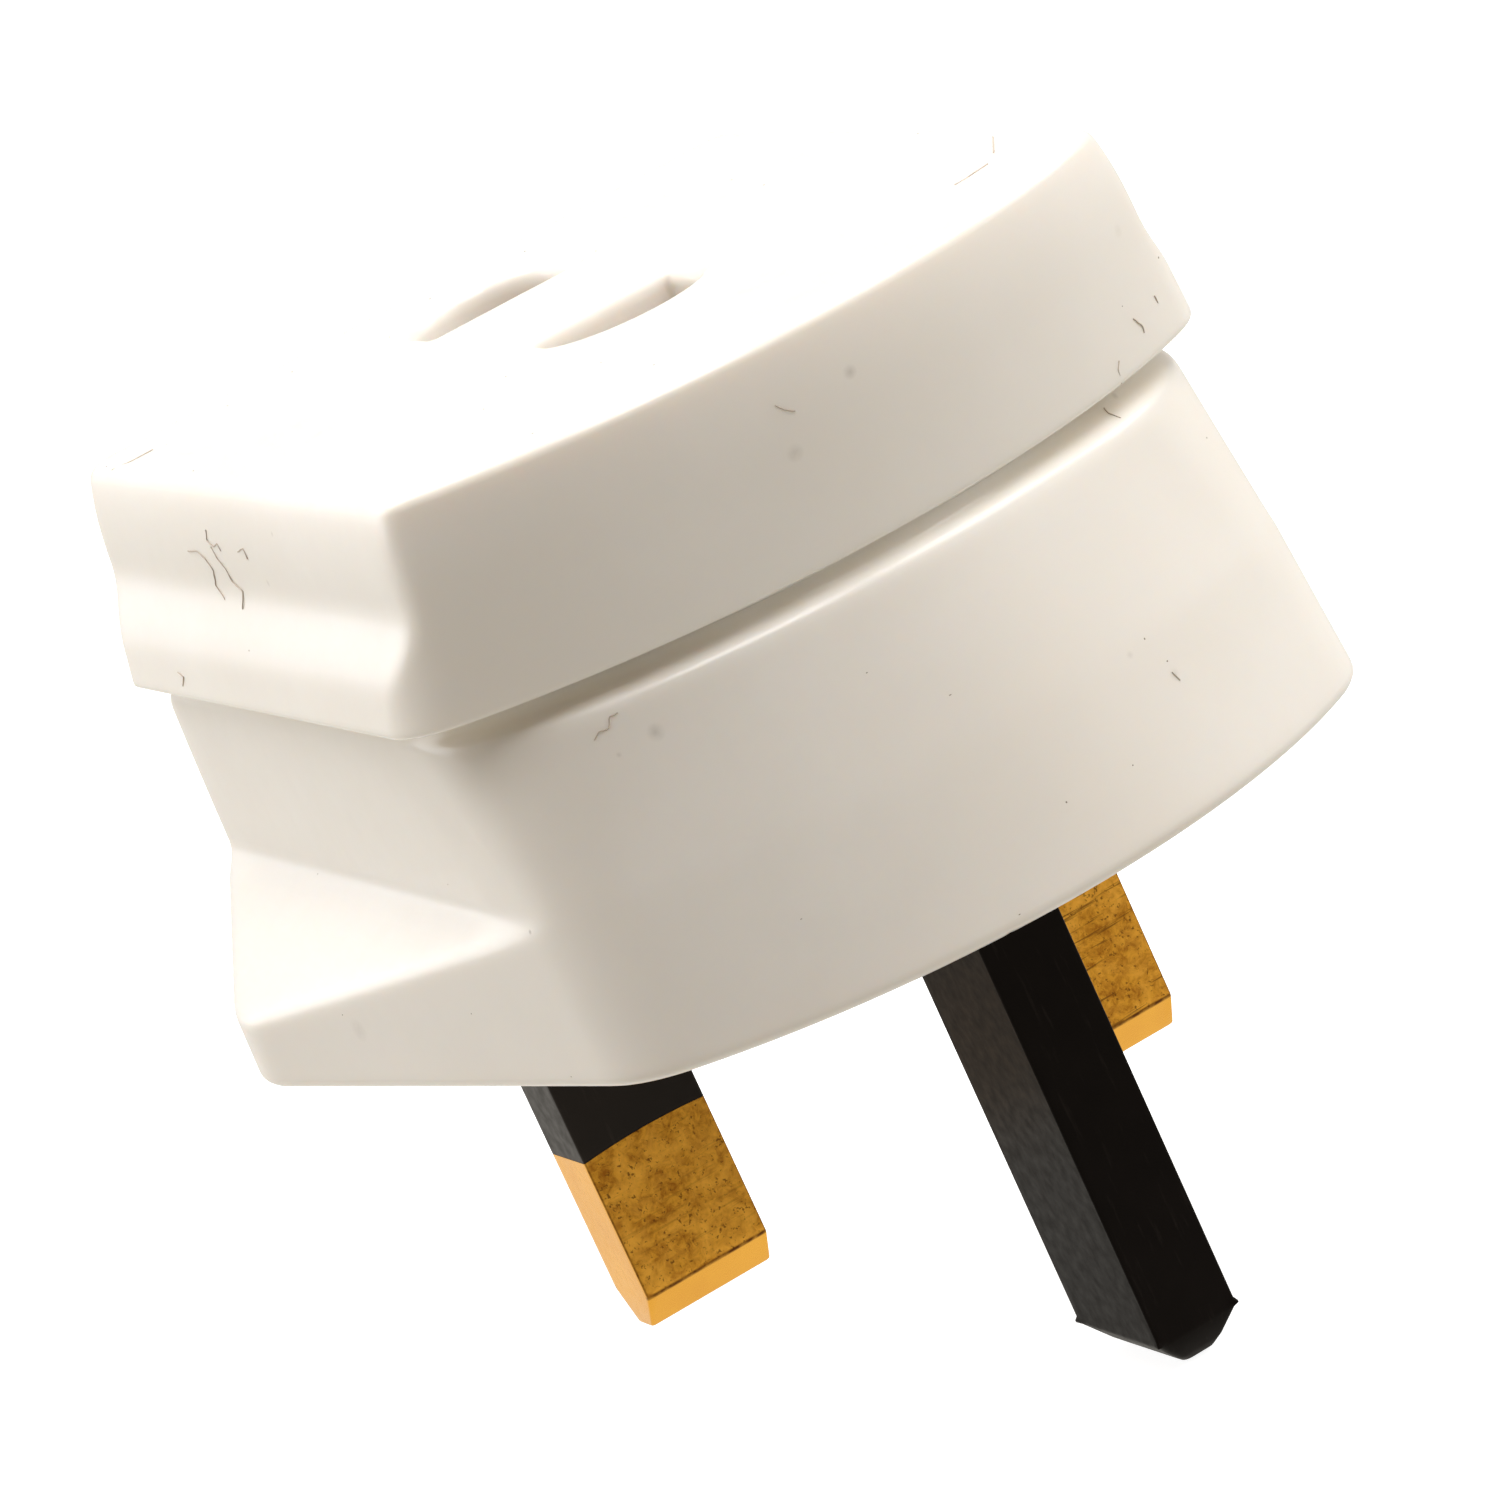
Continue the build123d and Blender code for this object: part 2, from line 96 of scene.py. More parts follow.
class BodySizes(bpy.types.PropertyGroup):
    """Outer form of the moulded base and cover"""

    grip_half_width: length(
        "Grip half width", "Half the width between the flat finger grips of the base", 0.0186)
    grip_height: length(
        "Grip foot height", "Height where the flat grip runs out onto the sloping foot", 0.0072)
    grip_slope: level("Foot slope", "Fall of the foot for each unit outwards", 0.61)
    grip_blend: length("Grip valley softness", "How softly the grip turns into the foot", 0.0011)
    grip_edge: length("Grip edge softness", "How softly the grip's outer edges are rounded", 0.0008)
    foot_radius: length("Foot edge radius", "Rounding of the edge round the pin face", 0.0006)
    joint_height: length("Joint height", "Height of the cover's rim above the pin face", node_top("base"))
    shoulder_height: length(
        "Shoulder height", "Height of the base's shoulder, just under the joint groove", 0.0155)
    total_height: length("Total height", "Height of the socket face above the pin face", node_top("cover"))
    top_radius: length("Top edge radius", "Rounding of the edge round the socket face", 0.0006)
    top_crown: length("Top crown", "How far the wall eases inward up to the top edge", 0.0005)
    crown_depth: length("Crown depth", "Height over which the wall eases inward", 0.005)
    rim_radius: length("Rim radius", "Rounding of the cover's lower rim", 0.0003)
    valley_height: length("Valley height", "Height of the finger valley along the cover's sides", 0.0209)
    valley_edge: length("Valley edge softness", "How softly the valley and its ends are rounded", 0.0006)
    wall_step: length("Wall row height", "Height of one row of faces on the outer walls", 0.0003)


class PinSizes(bpy.types.PropertyGroup):
    """Current pins, their sleeves and the earth pin"""

    width: length("Pin width", "Width of a current pin", 0.00635)
    thickness: length("Pin thickness", "Thickness of a current pin", 0.004)
    edge: length("Pin edge radius", "Rounding of the pin's long edges", 0.00012)
    sleeve_length: length("Sleeve length", "Length of the black sleeve below the pin face", 0.0092)
    sleeve_arch: length(
        "Sleeve arch", "Rise of the sleeve's lower edge in the middle of each wide face", 0.00016)
    flash: length("Moulding flash", "Flash left on the corners of the earth pin's tip", 0.00018)


class FinishSettings(bpy.types.PropertyGroup):
    """Colours of the materials"""

    body_colour: tint("Body colour", "Ivory white of the moulded shells", (0.84, 0.80, 0.745))
    body_shade: tint("Body shade", "Warmer tone in the uneven parts of the moulding", (0.80, 0.75, 0.68))
    brass_colour: tint("Brass colour", "Clean brass on the pins' edges", (0.93, 0.475, 0.065))
    ochre_colour: tint("Ochre colour", "Dull gold of the pins' wide faces", (0.72, 0.345, 0.036))
    patina_colour: tint("Patina colour", "Brown patina on the pins' wide faces", (0.36, 0.13, 0.012))
    insulation_colour: tint("Insulation colour", "Black insulating plastic", (0.004, 0.0033, 0.003))


class WearSettings(bpy.types.PropertyGroup):
    """Hairs, specks and marks left by use"""

    hair_radius: length("Hair radius", "Radius of the lint hairs", 0.000028)
    hair_curl: length("Hair curl", "How far a hair strays from its line", 0.00009)
    speck_density: level("Specks per square metre", "Dust specks on the shells", 9000.0)
    speck_size: length("Speck size", "Radius of a dust speck", 0.000042)
    seed: IntProperty(name="Seed", description="Fixed seed for the specks", default=7)
    mark_strength: FloatProperty(
        name="Mark strength", description="How strongly smudges tint the shells", default=0.32,
        min=0.0, max=1.0, subtype="FACTOR")


class StageSettings(bpy.types.PropertyGroup):
    """Floor and light"""

    floor_gap: length("Floor gap", "Gap between the earth pin and the floor", 0.0001)
    floor_white: level("Floor white", "Brightness of the floor itself", 0.92)
    floor_front: level("Front floor light", "Light thrown back by the floor in front of the plug", 0.63)
    floor_back: level("Rear floor light", "Light thrown back by the floor behind the plug", 0.95)
    top_light: power("Top light", "Power of the row of three softboxes above and to the right", 0.9)
    rear_light: power("Rear light", "Power of the softbox above the far left", 1.3)
    left_light: power("Left light", "Power of the low softbox behind the plug, on its left", 0.16)
    tent_bright: level("Tent brightness", "Light from the tent above and beside the plug", 1.3)
    tent_back: level("Tent back", "Light from the tent behind the plug, on its right", 0.5)
    tent_front: level("Tent opening", "Light from the open side of the tent", 0.06)
    tent_colour: tint("Tent colour", "Colour of the lit cloth", (1.0, 0.99, 0.975))
    front_colour: tint("Opening colour", "Colour of the dim light from the opening", (1.0, 0.78, 0.55))
    open_side: FloatVectorProperty(
        name="Open side", description="Direction of the tent's open side", size=3,
        default=(-0.71, -0.69, -0.26))


# Places and sizes that the solids fix, in millimetres

LIVE_X, NEUTRAL_X, EARTH_Y, SOCKET_Y = -11.1, 11.1, -22.2, -4.6
FUSE_X, FUSE_Y, FUSE_Z, FUSE_LENGTH = -9.6, -11.7, 9.0, 25.4
# Base: its floor, the top of the pin seats, and the foot of what stands sunk into the floor
FLOOR_Z, SEAT_Z, SUNK_Z = 3.0, 4.4, 2.9
# Cover: foot of the post and shrouds, foot and top of the lip, and the roof
POST_Z, LIP_Z, LIP_TOP_Z, ROOF_Z = 8.6, 14.4, 17.3, 24.1
# One row of faces on the base's inner wall and one in the slots
WALL_ROW_Z, SLOT_ROW_Z = 9.0, 16.0
# Middle of the case, and a current pin's shank: width and thickness
CASE_MIDDLE_Y, SHANK = -5.0, (5.35, 3.0)

# Points along each stretch of an outline, from the back's middle to the front's middle
BACK_N, BACK_CORNER_N, SIDE_N, WIDE_N, LONG_N, FRONT_CORNER_N, FRONT_N = 26, 9, 44, 12, 66, 26, 62
# Straight sides: half the length of their middle stretch, where it lies, and where the front corner lies
STRAIGHT_HALF, STRAIGHT_Y, CORNER_Y = 2, -3.0, -20.0


# Outlines, in millimetres

def run(a, b, count):
    """Points from a up to, not including, b"""
    t = np.linspace(0, 1, count, endpoint=False)[:, None]
    return np.array(a)[None, :] * (1 - t) + np.array(b)[None, :] * t


def sweep(centre, a, b, count):
    """Arc points from a up to, not including, b"""
    centre = np.array(centre)
    a0 = math.atan2(a[1] - centre[1], a[0] - centre[0])
    a1 = math.atan2(b[1] - centre[1], b[0] - centre[0])
    turn = (a1 - a0 + math.pi) % (2 * math.pi) - math.pi
    ang = a0 + turn * np.linspace(0, 1, count, endpoint=False)
    r = math.hypot(a[0] - centre[0], a[1] - centre[1])
    return centre[None, :] + r * np.stack([np.cos(ang), np.sin(ang)], axis=1)


def round_between(before, corner, after, r):
    """Start, centre and end of the rounding of a corner between two straight edges"""
    before, corner, after = map(np.array, (before, corner, after))
    u = (before - corner) / np.linalg.norm(before - corner)
    v = (after - corner) / np.linalg.norm(after - corner)
    half = math.acos(max(-1.0, min(1.0, float(u @ v)))) / 2
    leg = r / math.tan(half)
    w = (u + v) / np.linalg.norm(u + v)
    return corner + u * leg, corner + w * (r / math.sin(half)), corner + v * leg


def round_to_front(a, b, apex, big_r, r):
    """Start, centre and end of the rounding between a side a-b and the big front arc"""
    a, b = np.array(a), np.array(b)
    d = (b - a) / np.linalg.norm(b - a)
    n = np.array([d[1], -d[0]])
    if n[0] > 0:
        n = -n
    o = np.array([0.0, apex + big_r])
    q = a + n * r - o
    half_b = float(q @ d)
    rest = float(q @ q) - (big_r - r) ** 2
    t = -half_b + math.sqrt(half_b * half_b - rest)
    c = a + n * r + d * t
    return c - n * r, c, o + (c - o) / np.linalg.norm(c - o) * big_r


def shield(back_y, back_x, wide, corner, apex, big_r, r_back, r_front, r_wide):
    """Closed shield outline, always with the same number of points in the same places"""
    b1, bc, b3 = round_between((0, back_y), (back_x, back_y), wide, r_back)
    f1, fc, f3 = round_to_front(wide, corner, apex, big_r, r_front)
    if r_wide > 0:
        w1, wc, w3 = round_between((back_x, back_y), wide, corner, r_wide)
        middle = sweep(wc, w1, w3, WIDE_N)
    else:
        w1, w3 = (wide[0], wide[1] + STRAIGHT_HALF), (wide[0], wide[1] - STRAIGHT_HALF)
        middle = run(w1, w3, WIDE_N)
    half = np.concatenate([
        run((0, back_y), b1, BACK_N), sweep(bc, b1, b3, BACK_CORNER_N), run(b3, w1, SIDE_N), middle,
        run(w3, f1, LONG_N), sweep(fc, f1, f3, FRONT_CORNER_N),
        sweep((0, apex + big_r), f3, (0, apex), FRONT_N), [[0, apex]]])
    other = half[1:-1][::-1] * np.array([-1, 1])
    return np.concatenate([half, other])


def plain(x, back_y, apex, big_r, r_back, r_front):
    """Shield outline with straight sides"""
    return shield(back_y, x, (x, STRAIGHT_Y), (x, CORNER_Y), apex, big_r, r_back, r_front, 0)


def soft_min(a, b, k):
    h = np.maximum(k - np.abs(a - b), 0) / k
    return np.minimum(a, b) - h * h * k / 4


def soft_max(a, b, k):
    return -soft_min(-a, -b, k)


def narrowed(points, limit, k):
    """Outline with both sides cut back to a half width"""
    x = soft_min(np.abs(points[:, 0]), limit, k)
    x = np.where(np.abs(points[:, 0]) < limit - k, np.abs(points[:, 0]), x)
    return np.stack([x * np.sign(points[:, 0]), points[:, 1]], axis=1)


def inset(points, amount):
    """Outline moved inwards by an amount, one number or one for each point"""
    d = np.roll(points, -1, axis=0) - np.roll(points, 1, axis=0)
    n = np.stack([d[:, 1], -d[:, 0]], axis=1) / np.linalg.norm(d, axis=1)[:, None]
    if ((points - points.mean(axis=0)) * n).sum() < 0:
        n = -n
    return points - n * np.broadcast_to(np.asarray(amount, dtype=float), (len(points),))[:, None]


def box_ring(x, y, w, t, r=0.0, per_side=6, per_corner=4):
    """Rounded rectangle about a centre"""
    corners = []
    for cx, cy, a in ((1, 1, 0), (-1, 1, 90), (-1, -1, 180), (1, -1, 270)):
        c = np.array([x + cx * (w / 2 - r), y + cy * (t / 2 - r)])
        ang = np.radians(np.linspace(a, a + 90, per_corner + 1 if r > 0 else 1))
        corners.append(c[None, :] + r * np.stack([np.cos(ang), np.sin(ang)], axis=1))
    out = []
    for points, following in zip(corners, corners[1:] + corners[:1]):
        t01 = np.linspace(0, 1, per_side + 2)[1:-1, None]
        out += [points, points[-1][None, :] * (1 - t01) + following[0][None, :] * t01]
    return np.concatenate(out)


def circle_ring(x, y, r):
    a = np.linspace(0, 2 * math.pi, 48, endpoint=False)
    return np.stack([x + r * np.cos(a), y + r * np.sin(a)], axis=1)


SLOT_INNER, SLOT_CENTRE, SLOT_RADIUS, SLOT_CORNER = 5.4, 8.3, 3.5, 0.35


def slot_ring(side, grow):
    """D-shaped slot: straight side towards the middle of the socket, round side outwards"""
    w = SLOT_RADIUS + grow
    r = SLOT_CORNER + max(grow, 0) * 0.4
    y_in = SOCKET_Y + side * (SLOT_INNER - grow)
    y_corner = y_in + side * r
    y_mid = SOCKET_Y + side * SLOT_CENTRE

    def arc(x, y, radius, start, end, count):
        a = np.linspace(start * math.pi, end * math.pi, count, endpoint=False)
        return np.stack([x + radius * np.cos(a), y + side * radius * np.sin(a)], axis=1)

    return np.concatenate([
        run((r - w, y_in), (w - r, y_in), 22), arc(w - r, y_corner, r, -0.5, 0, 6),
        run((w, y_corner), (w, y_mid), 8), arc(0, y_mid, w, 0, 1, 40),
        run((-w, y_mid), (-w, y_corner), 8), arc(r - w, y_corner, r, 1, 1.5, 6)])


# Meshes

def linked(name, mesh):
    """New object with a mesh, in the scene"""
    obj = bpy.data.objects.new(name, mesh)
    bpy.context.scene.collection.objects.link(obj)
    return obj


def mesh_object(name, bm):
    """New object from a bmesh, which is freed"""
    mesh = bpy.data.meshes.new(name)
    bm.to_mesh(mesh)
    bm.free()
    return linked(name, mesh)


class Solid:
    """Closed mesh put together from rings of points and flat fills, in millimetres"""

    def __init__(self):
        self.bm = bmesh.new()

    def ring(self, points, z):
        """Vertices of an outline at one height, or at a height for each point"""
        heights = np.broadcast_to(np.asarray(z, dtype=float), (len(points),))
        return [self.bm.verts.new((p[0] * MM, p[1] * MM, h * MM)) for p, h in zip(points, heights)]

    def wall(self, a, b):
        for i in range(len(a)):
            j = (i + 1) % len(a)
            self.bm.faces.new((a[i], a[j], b[j], b[i]))

    def tower(self, levels):
        """Wall through outlines at their heights, open at its two ends, which are returned"""
        rings = [self.ring(points, z) for points, z in levels]
        for a, b in zip(rings, rings[1:]):
            self.wall(a, b)
        return rings[0], rings[-1]

    def cap(self, ring):
        self.bm.faces.new(ring)

    def column(self, levels):
        """Tower closed flat at both ends"""
        for end in self.tower(levels):
            self.cap(end)

    def prism(self, low, high):
        """Closed body between two loops of the same number of points"""
        a, b = ([self.bm.verts.new((p[0] * MM, p[1] * MM, p[2] * MM)) for p in loop] for loop in (low, high))
        self.wall(a, b)
        self.cap(a)
        self.cap(b)

    def block(self, x0, x1, y0, y1, z0, z1, r=0.2, ease=0.2):
        """Upright block with rounded corners and an eased top"""
        x, y, w, t = (x0 + x1) / 2, (y0 + y1) / 2, x1 - x0, y1 - y0
        full = box_ring(x, y, w, t, r)
        self.column([(full, z0), (full, z1 - 0.12), (box_ring(x, y, w - ease, t - ease, r), z1)])

    def fill(self, outer, holes):
        """Flat face between an outer ring and the rings of its holes"""
        edges = []
        for ring in [outer, *holes]:
            for a, b in zip(ring, ring[1:] + ring[:1]):
                edges.append(self.bm.edges.get((a, b)) or self.bm.edges.new((a, b)))
        bmesh.ops.triangle_fill(self.bm, use_beauty=True, use_dissolve=False, edges=edges)

    def finish(self, name, crease=32.0):
        """The mesh as an object, shaded smooth up to an angle in degrees"""
        bm = self.bm
        bmesh.ops.remove_doubles(bm, verts=bm.verts, dist=1e-7)
        bmesh.ops.recalc_face_normals(bm, faces=bm.faces)
        for f in bm.faces:
            f.smooth = True
        for e in bm.edges:
            e.smooth = len(e.link_faces) == 2 and e.calc_face_angle(0.0) < math.radians(crease)
        open_edges = sum(len(e.link_faces) != 2 for e in bm.edges)
        if open_edges:
            print(name, "has", open_edges, "edges without two faces")
        return mesh_object(name, bm)


def bake(obj):
    """The evaluated object as a plain mesh, with its modifiers removed"""
    deps = bpy.context.evaluated_depsgraph_get()
    mesh = bpy.data.meshes.new_from_object(
        obj.evaluated_get(deps), preserve_all_data_layers=True, depsgraph=deps)
    old = obj.data
    obj.modifiers.clear()
    obj.data = mesh
    if old.users == 0:
        bpy.data.meshes.remove(old)
    return obj


def weighted(obj):
    """Shading normals that keep the large flat faces flat"""
    mod = obj.modifiers.new("flat faces", "WEIGHTED_NORMAL")
    mod.keep_sharp = True
    mod.weight = 60
    return bake(obj)


def dress(obj, material, slot, *nodes):
    """Give a piece its material, the nodes it stands for and its body; the slot is not used"""
    obj.data.materials.clear()
    obj.data.materials.append(material)
    if nodes:
        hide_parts(*nodes)
    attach(obj, "root")


# The photograph's camera, in metres, and its pixels

CAMERA_AT = Vector((-0.102978, -0.307862, 0.082654))
CAMERA_TURN = Euler((1.306576, 0.417038, -0.431445))
LENS, SENSOR = 180.291, 36.0
SHIFT = (0.01847, 0.01405)
IMAGE = 1500.0


def sight(px, py):
    """Direction of the camera's ray through a pixel of the photograph"""
    u = (px / IMAGE - 0.5 + SHIFT[0]) * SENSOR / LENS
    v = (0.5 - py / IMAGE + SHIFT[1]) * SENSOR / LENS
    return (CAMERA_TURN.to_matrix() @ Vector((u, v, -1.0))).normalized()


def on_level(px, py, z):
    """Where a pixel's ray meets a height in millimetres, in millimetres"""
    d = sight(px, py)
    p = CAMERA_AT + d * ((z * MM - CAMERA_AT.z) / d.z)
    return p.x / MM, p.y / MM


def shell_tree():
    """The two shells together, for finding where a pixel lies on them"""
    verts, polys = [], []
    for name in ("base_shell", "cover_shell"):
        mesh = bpy.data.objects[name].data
        start = len(verts)
        verts += [v.co.copy() for v in mesh.vertices]
        polys += [[start + i for i in p.vertices] for p in mesh.polygons]
    return BVHTree.FromPolygons(verts, polys)


def shell_hits(tree, pixels):
    """Place and normal on the shells under each pixel that shows them"""
    hits = [tree.ray_cast(CAMERA_AT, sight(*pixel))[:2] for pixel in pixels]
    return [(place, normal) for place, normal in hits if place is not None]


# Base

# Nicks along the lower rim: pixel of the photograph, radius and depth in millimetres
RIM_NICKS = ((905, 968, 0.9, 0.22), (858, 998, 0.4, 0.16), (383, 1091, 0.35, 0.14), (1010, 932, 0.3, 0.1))
NICK_Z = 0.1
# Shoulder under the joint groove: drop below its top, share of the way in to the neck
ROLL_START, NECK_EASE, INNER_EASE = 1.25, 0.1, 0.15
SHOULDER_ROLL = ((1.1, 0.0), (0.85, 0.015), (0.65, 0.045), (0.5, 0.1), (0.38, 0.19), (0.28, 0.3),
                 (0.16, 0.46), (0.02, 0.63), (-0.18, 0.8), (-0.42, 0.92), (-0.62, 0.98))
# Holes and seats: width, thickness and height of each level, from the pin face up and down again
CURRENT_SEAT = ((6.45, 4.1, 0), (6.45, 4.1, 1.2), (5.45, 3.1, 1.2), (5.45, 3.1, FLOOR_Z),
                (8.5, 6.1, FLOOR_Z), (8.5, 6.1, SEAT_Z), (10.6, 8.2, SEAT_Z), (10.6, 8.2, FLOOR_Z))
EARTH_SEAT = ((4.1, 8.1, 0), (4.1, 8.1, FLOOR_Z), (6.5, 10.5, FLOOR_Z), (6.5, 10.5, SEAT_Z),
              (8.6, 12.6, SEAT_Z), (8.6, 12.6, FLOOR_Z))
# Recess and post of the cover screw: radius and height
SCREW_POST = ((3.55, 0), (3.45, 0.12), (3.45, 2.4), (1.95, 2.4), (1.95, 8.4), (4.0, 8.4), (4.2, 8.2),
              (4.2, FLOOR_Z))
CRADLE_Y, CRADLE_HALF, CRADLE_RADIUS, CRADLE_TURN = (-15.7, -7.7), 0.7, 3.25, 1.258
# Outer side of a cradle cheek: distance from the fuse's axis and height
CHEEK_SIDE = ((3.7, SUNK_Z), (3.7, 7.9), (3.6, 8.0))
# Seats under the fuse's outer clip and the contact tails: both ends in x, y and z
TAIL_SEATS = ((FUSE_X - 3.5, FUSE_X + 3.5, -24.1, -19.7, SUNK_Z, 5.0),
              (-5.8, -4.2, -20.9, -16.3, SUNK_Z, 5.5), (-1.5, 1.5, 7.2, 10.0, SUNK_Z, 5.0))


def base_outlines():
    """Outer outlines of the base at the pin face, at the grip and at the shoulder"""
    foot = shield(13.5, 19.2, (25.2, 1.5), (18.8, -25.5), -35.0, 26.0, 2.0, 7.0, 6.0)
    mid = shield(13.5, 19.0, (24.9, 1.5), (18.5, -24.5), -33.7, 26.5, 2.0, 8.5, 6.0)
    top = plain(18.78, 13.5, -32.1, 27.5, 2.0, 12.0)
    return foot, mid, top


def base_wall(z, sizes, outlines):
    """Outline of the base's outer wall at a height"""
    foot, mid, top = outlines
    mid_z, top_z = 7.6, sizes.shoulder_height / MM
    if z < mid_z:
        t = z / mid_z
        p = foot * (1 - t) + mid * t
    else:
        t = (z - mid_z) / (top_z - mid_z)
        p = mid * (1 - t) + top * t
    flat = sizes.grip_half_width / MM
    slope = flat + (sizes.grip_height / MM - z) / sizes.grip_slope
    limit = float(soft_max(np.array(flat), np.array(slope), sizes.grip_blend / MM))
    return narrowed(p, limit, sizes.grip_edge / MM)


def chipped(points, z, chips):
    """Outline with small nicks pressed in near the given spots: x, y, z, radius, depth"""
    for x, y, cz, r, depth in chips:
        d = np.sqrt((points[:, 0] - x) ** 2 + (points[:, 1] - y) ** 2 + (z - cz) ** 2)
        fall = np.clip(1 - (d / r) ** 2, 0, 1) ** 2
        inward = np.stack([-points[:, 0], CASE_MIDDLE_Y - points[:, 1]], axis=1)
        inward /= np.linalg.norm(inward, axis=1)[:, None]
        points = points + inward * (fall * depth)[:, None]
    return points


def make_base_shell(sizes):
    """Hollow base: outer wall, shoulder, neck, pin seats, screw post and fuse cradle"""
    s = Solid()
    outlines = base_outlines()
    top_z, joint_z = sizes.shoulder_height / MM, sizes.joint_height / MM
    r, step = sizes.foot_radius / MM, sizes.wall_step / MM
    neck = plain(18.5, 12.6, -31.3, 27.0, 1.4, 11.0)
    inner = plain(16.4, 11.5, -29.2, 25.0, 1.2, 6.0)
    chips = [(*on_level(px, py, NICK_Z), NICK_Z, size, depth) for px, py, size, depth in RIM_NICKS]

    def wall(z, amount=0.0):
        return inset(base_wall(min(z, top_z), sizes, outlines), amount)

    levels = []
    for t in np.linspace(0, math.pi / 2, 6):
        z = r * (1 - math.cos(t))
        levels.append((chipped(wall(z, r * (1 - math.sin(t))), z, chips), z))
    levels += [(chipped(wall(z), z, chips), z) for z in np.arange(r + step, top_z - ROLL_START, step)]
    gap = np.linalg.norm(wall(top_z) - neck, axis=1)
    levels += [(wall(top_z - drop, gap * share), top_z - drop) for drop, share in SHOULDER_ROLL]
    levels += [(neck, joint_z - NECK_EASE), (inset(neck, NECK_EASE), joint_z),
               (inset(inner, -INNER_EASE), joint_z), (inner, joint_z - INNER_EASE),
               (inner, WALL_ROW_Z), (inner, FLOOR_Z)]
    face, inside = s.tower(levels)
    holes = [s.tower([(box_ring(x, 0, w, t), z) for w, t, z in CURRENT_SEAT]) for x in (LIVE_X, NEUTRAL_X)]
    holes.append(s.tower([(box_ring(0, EARTH_Y, w, t), z) for w, t, z in EARTH_SEAT]))
    holes.append(s.tower([(circle_ring(0, SOCKET_Y, r), z) for r, z in SCREW_POST]))
    s.fill(face, [low for low, high in holes])
    s.fill(inside, [high for low, high in holes])
    turns = np.linspace(-CRADLE_TURN, CRADLE_TURN, 19)
    hollow = [(FUSE_X + CRADLE_RADIUS * math.sin(a), FUSE_Z - CRADLE_RADIUS * math.cos(a)) for a in turns]
    cheek = [(FUSE_X - off, z) for off, z in CHEEK_SIDE] + hollow
    cheek += [(FUSE_X + off, z) for off, z in CHEEK_SIDE[::-1]]
    for y in CRADLE_Y:
        s.prism(*([(x, y + off, z) for x, z in cheek] for off in (-CRADLE_HALF, CRADLE_HALF)))
    for seat in TAIL_SEATS:
        s.block(*seat)
    return weighted(s.finish("base_shell"))


# Cover

VALLEY_HALF, VALLEY_RISE, VALLEY_FALL = 18.1, 0.15 / 5.7, 0.667
SHROUD, POST_RADIUS, POST_BORE, BORE_END_Z = 1.0, 3.0, 1.8, 20.6
LIP_EASE, SLOT_EASE_DEPTH, SLOT_EASE_WIDTH = 0.15, 0.9, 0.75


def cover_wall(z, sizes, outlines):
    """Outline of the cover's outer wall at a height, with the crown under its top edge"""
    low, top = outlines
    z0, z1 = sizes.joint_height / MM, sizes.total_height / MM
    t = (z - z0) / (z1 - z0)
    p = low * (1 - t) + top * t
    valley_z = sizes.valley_height / MM
    upper = VALLEY_HALF - VALLEY_RISE * (z - valley_z)
    lower = VALLEY_HALF + (valley_z - z) * VALLEY_FALL
    k = sizes.valley_edge / MM
    limit = float(soft_max(np.array(upper), np.array(lower), k))
    crown_start = z1 - sizes.crown_depth / MM
    rise = max(0.0, (z - crown_start) / (z1 - crown_start))
    return inset(narrowed(p, limit, k), sizes.top_crown / MM * rise ** 2.5)


def make_cover_shell(sizes):
    """Hollow cover: outer wall, locating lip, slots with their shrouds, and screw boss"""
    s = Solid()
    outlines = plain(19.8, 13.5, -32.0, 28.0, 2.0, 5.5), plain(17.9, 13.5, -33.6, 26.0, 2.0, 3.2)
    z0, z1 = sizes.joint_height / MM, sizes.total_height / MM
    top_r, rim_r, step = sizes.top_radius / MM, sizes.rim_radius / MM, sizes.wall_step / MM
    lip_outer = plain(16.25, 11.35, -29.05, 24.9, 1.1, 5.9)
    lip_inner = plain(15.15, 10.25, -27.95, 23.8, 0.6, 4.8)
    hollow = plain(16.0, 11.4, -29.0, 24.0, 1.2, 5.5)

    def wall(z, amount=0.0):
        return inset(cover_wall(z, sizes, outlines), amount), z

    levels = []
    for t in np.linspace(0, math.pi / 2, 10):
        levels.append(wall(z1 - top_r * (1 - math.cos(t)), top_r * (1 - math.sin(t))))
    levels += [wall(z) for z in np.arange(z1 - top_r - step, z0 + rim_r, -step)]
    for t in np.linspace(0, math.pi / 2, 5):
        levels.append(wall(z0 + rim_r * (1 - math.sin(t)), rim_r * (1 - math.cos(t))))
    levels += [(lip_outer, z0), (lip_outer, LIP_Z + LIP_EASE), (inset(lip_outer, LIP_EASE), LIP_Z),
               (lip_inner, LIP_Z), (lip_inner, LIP_TOP_Z), (hollow, LIP_TOP_Z), (hollow, ROOF_Z)]
    face, roof = s.tower(levels)
    lips, stems = [], []
    for side in (-1, 1):
        down = []
        for q in np.linspace(0, math.pi / 2, 8):
            grow = SLOT_EASE_WIDTH * (1 - math.sin(q))
            down.append((slot_ring(side, grow), z1 - SLOT_EASE_DEPTH * (1 - math.cos(q))))
        slot, shroud = slot_ring(side, 0.0), slot_ring(side, SHROUD)
        lip, stem = s.tower(down + [(slot, SLOT_ROW_Z), (slot, POST_Z), (shroud, POST_Z), (shroud, ROOF_Z)])
        lips.append(lip)
        stems.append(stem)
    post, bore = circle_ring(0, SOCKET_Y, POST_RADIUS), circle_ring(0, SOCKET_Y, POST_BORE)
    stem, end = s.tower([(post, ROOF_Z), (post, POST_Z), (bore, POST_Z), (bore, BORE_END_Z)])
    s.cap(end)
    s.fill(face, lips)
    s.fill(roof, stems + [stem])
    return weighted(s.finish("cover_shell"))


# Pins

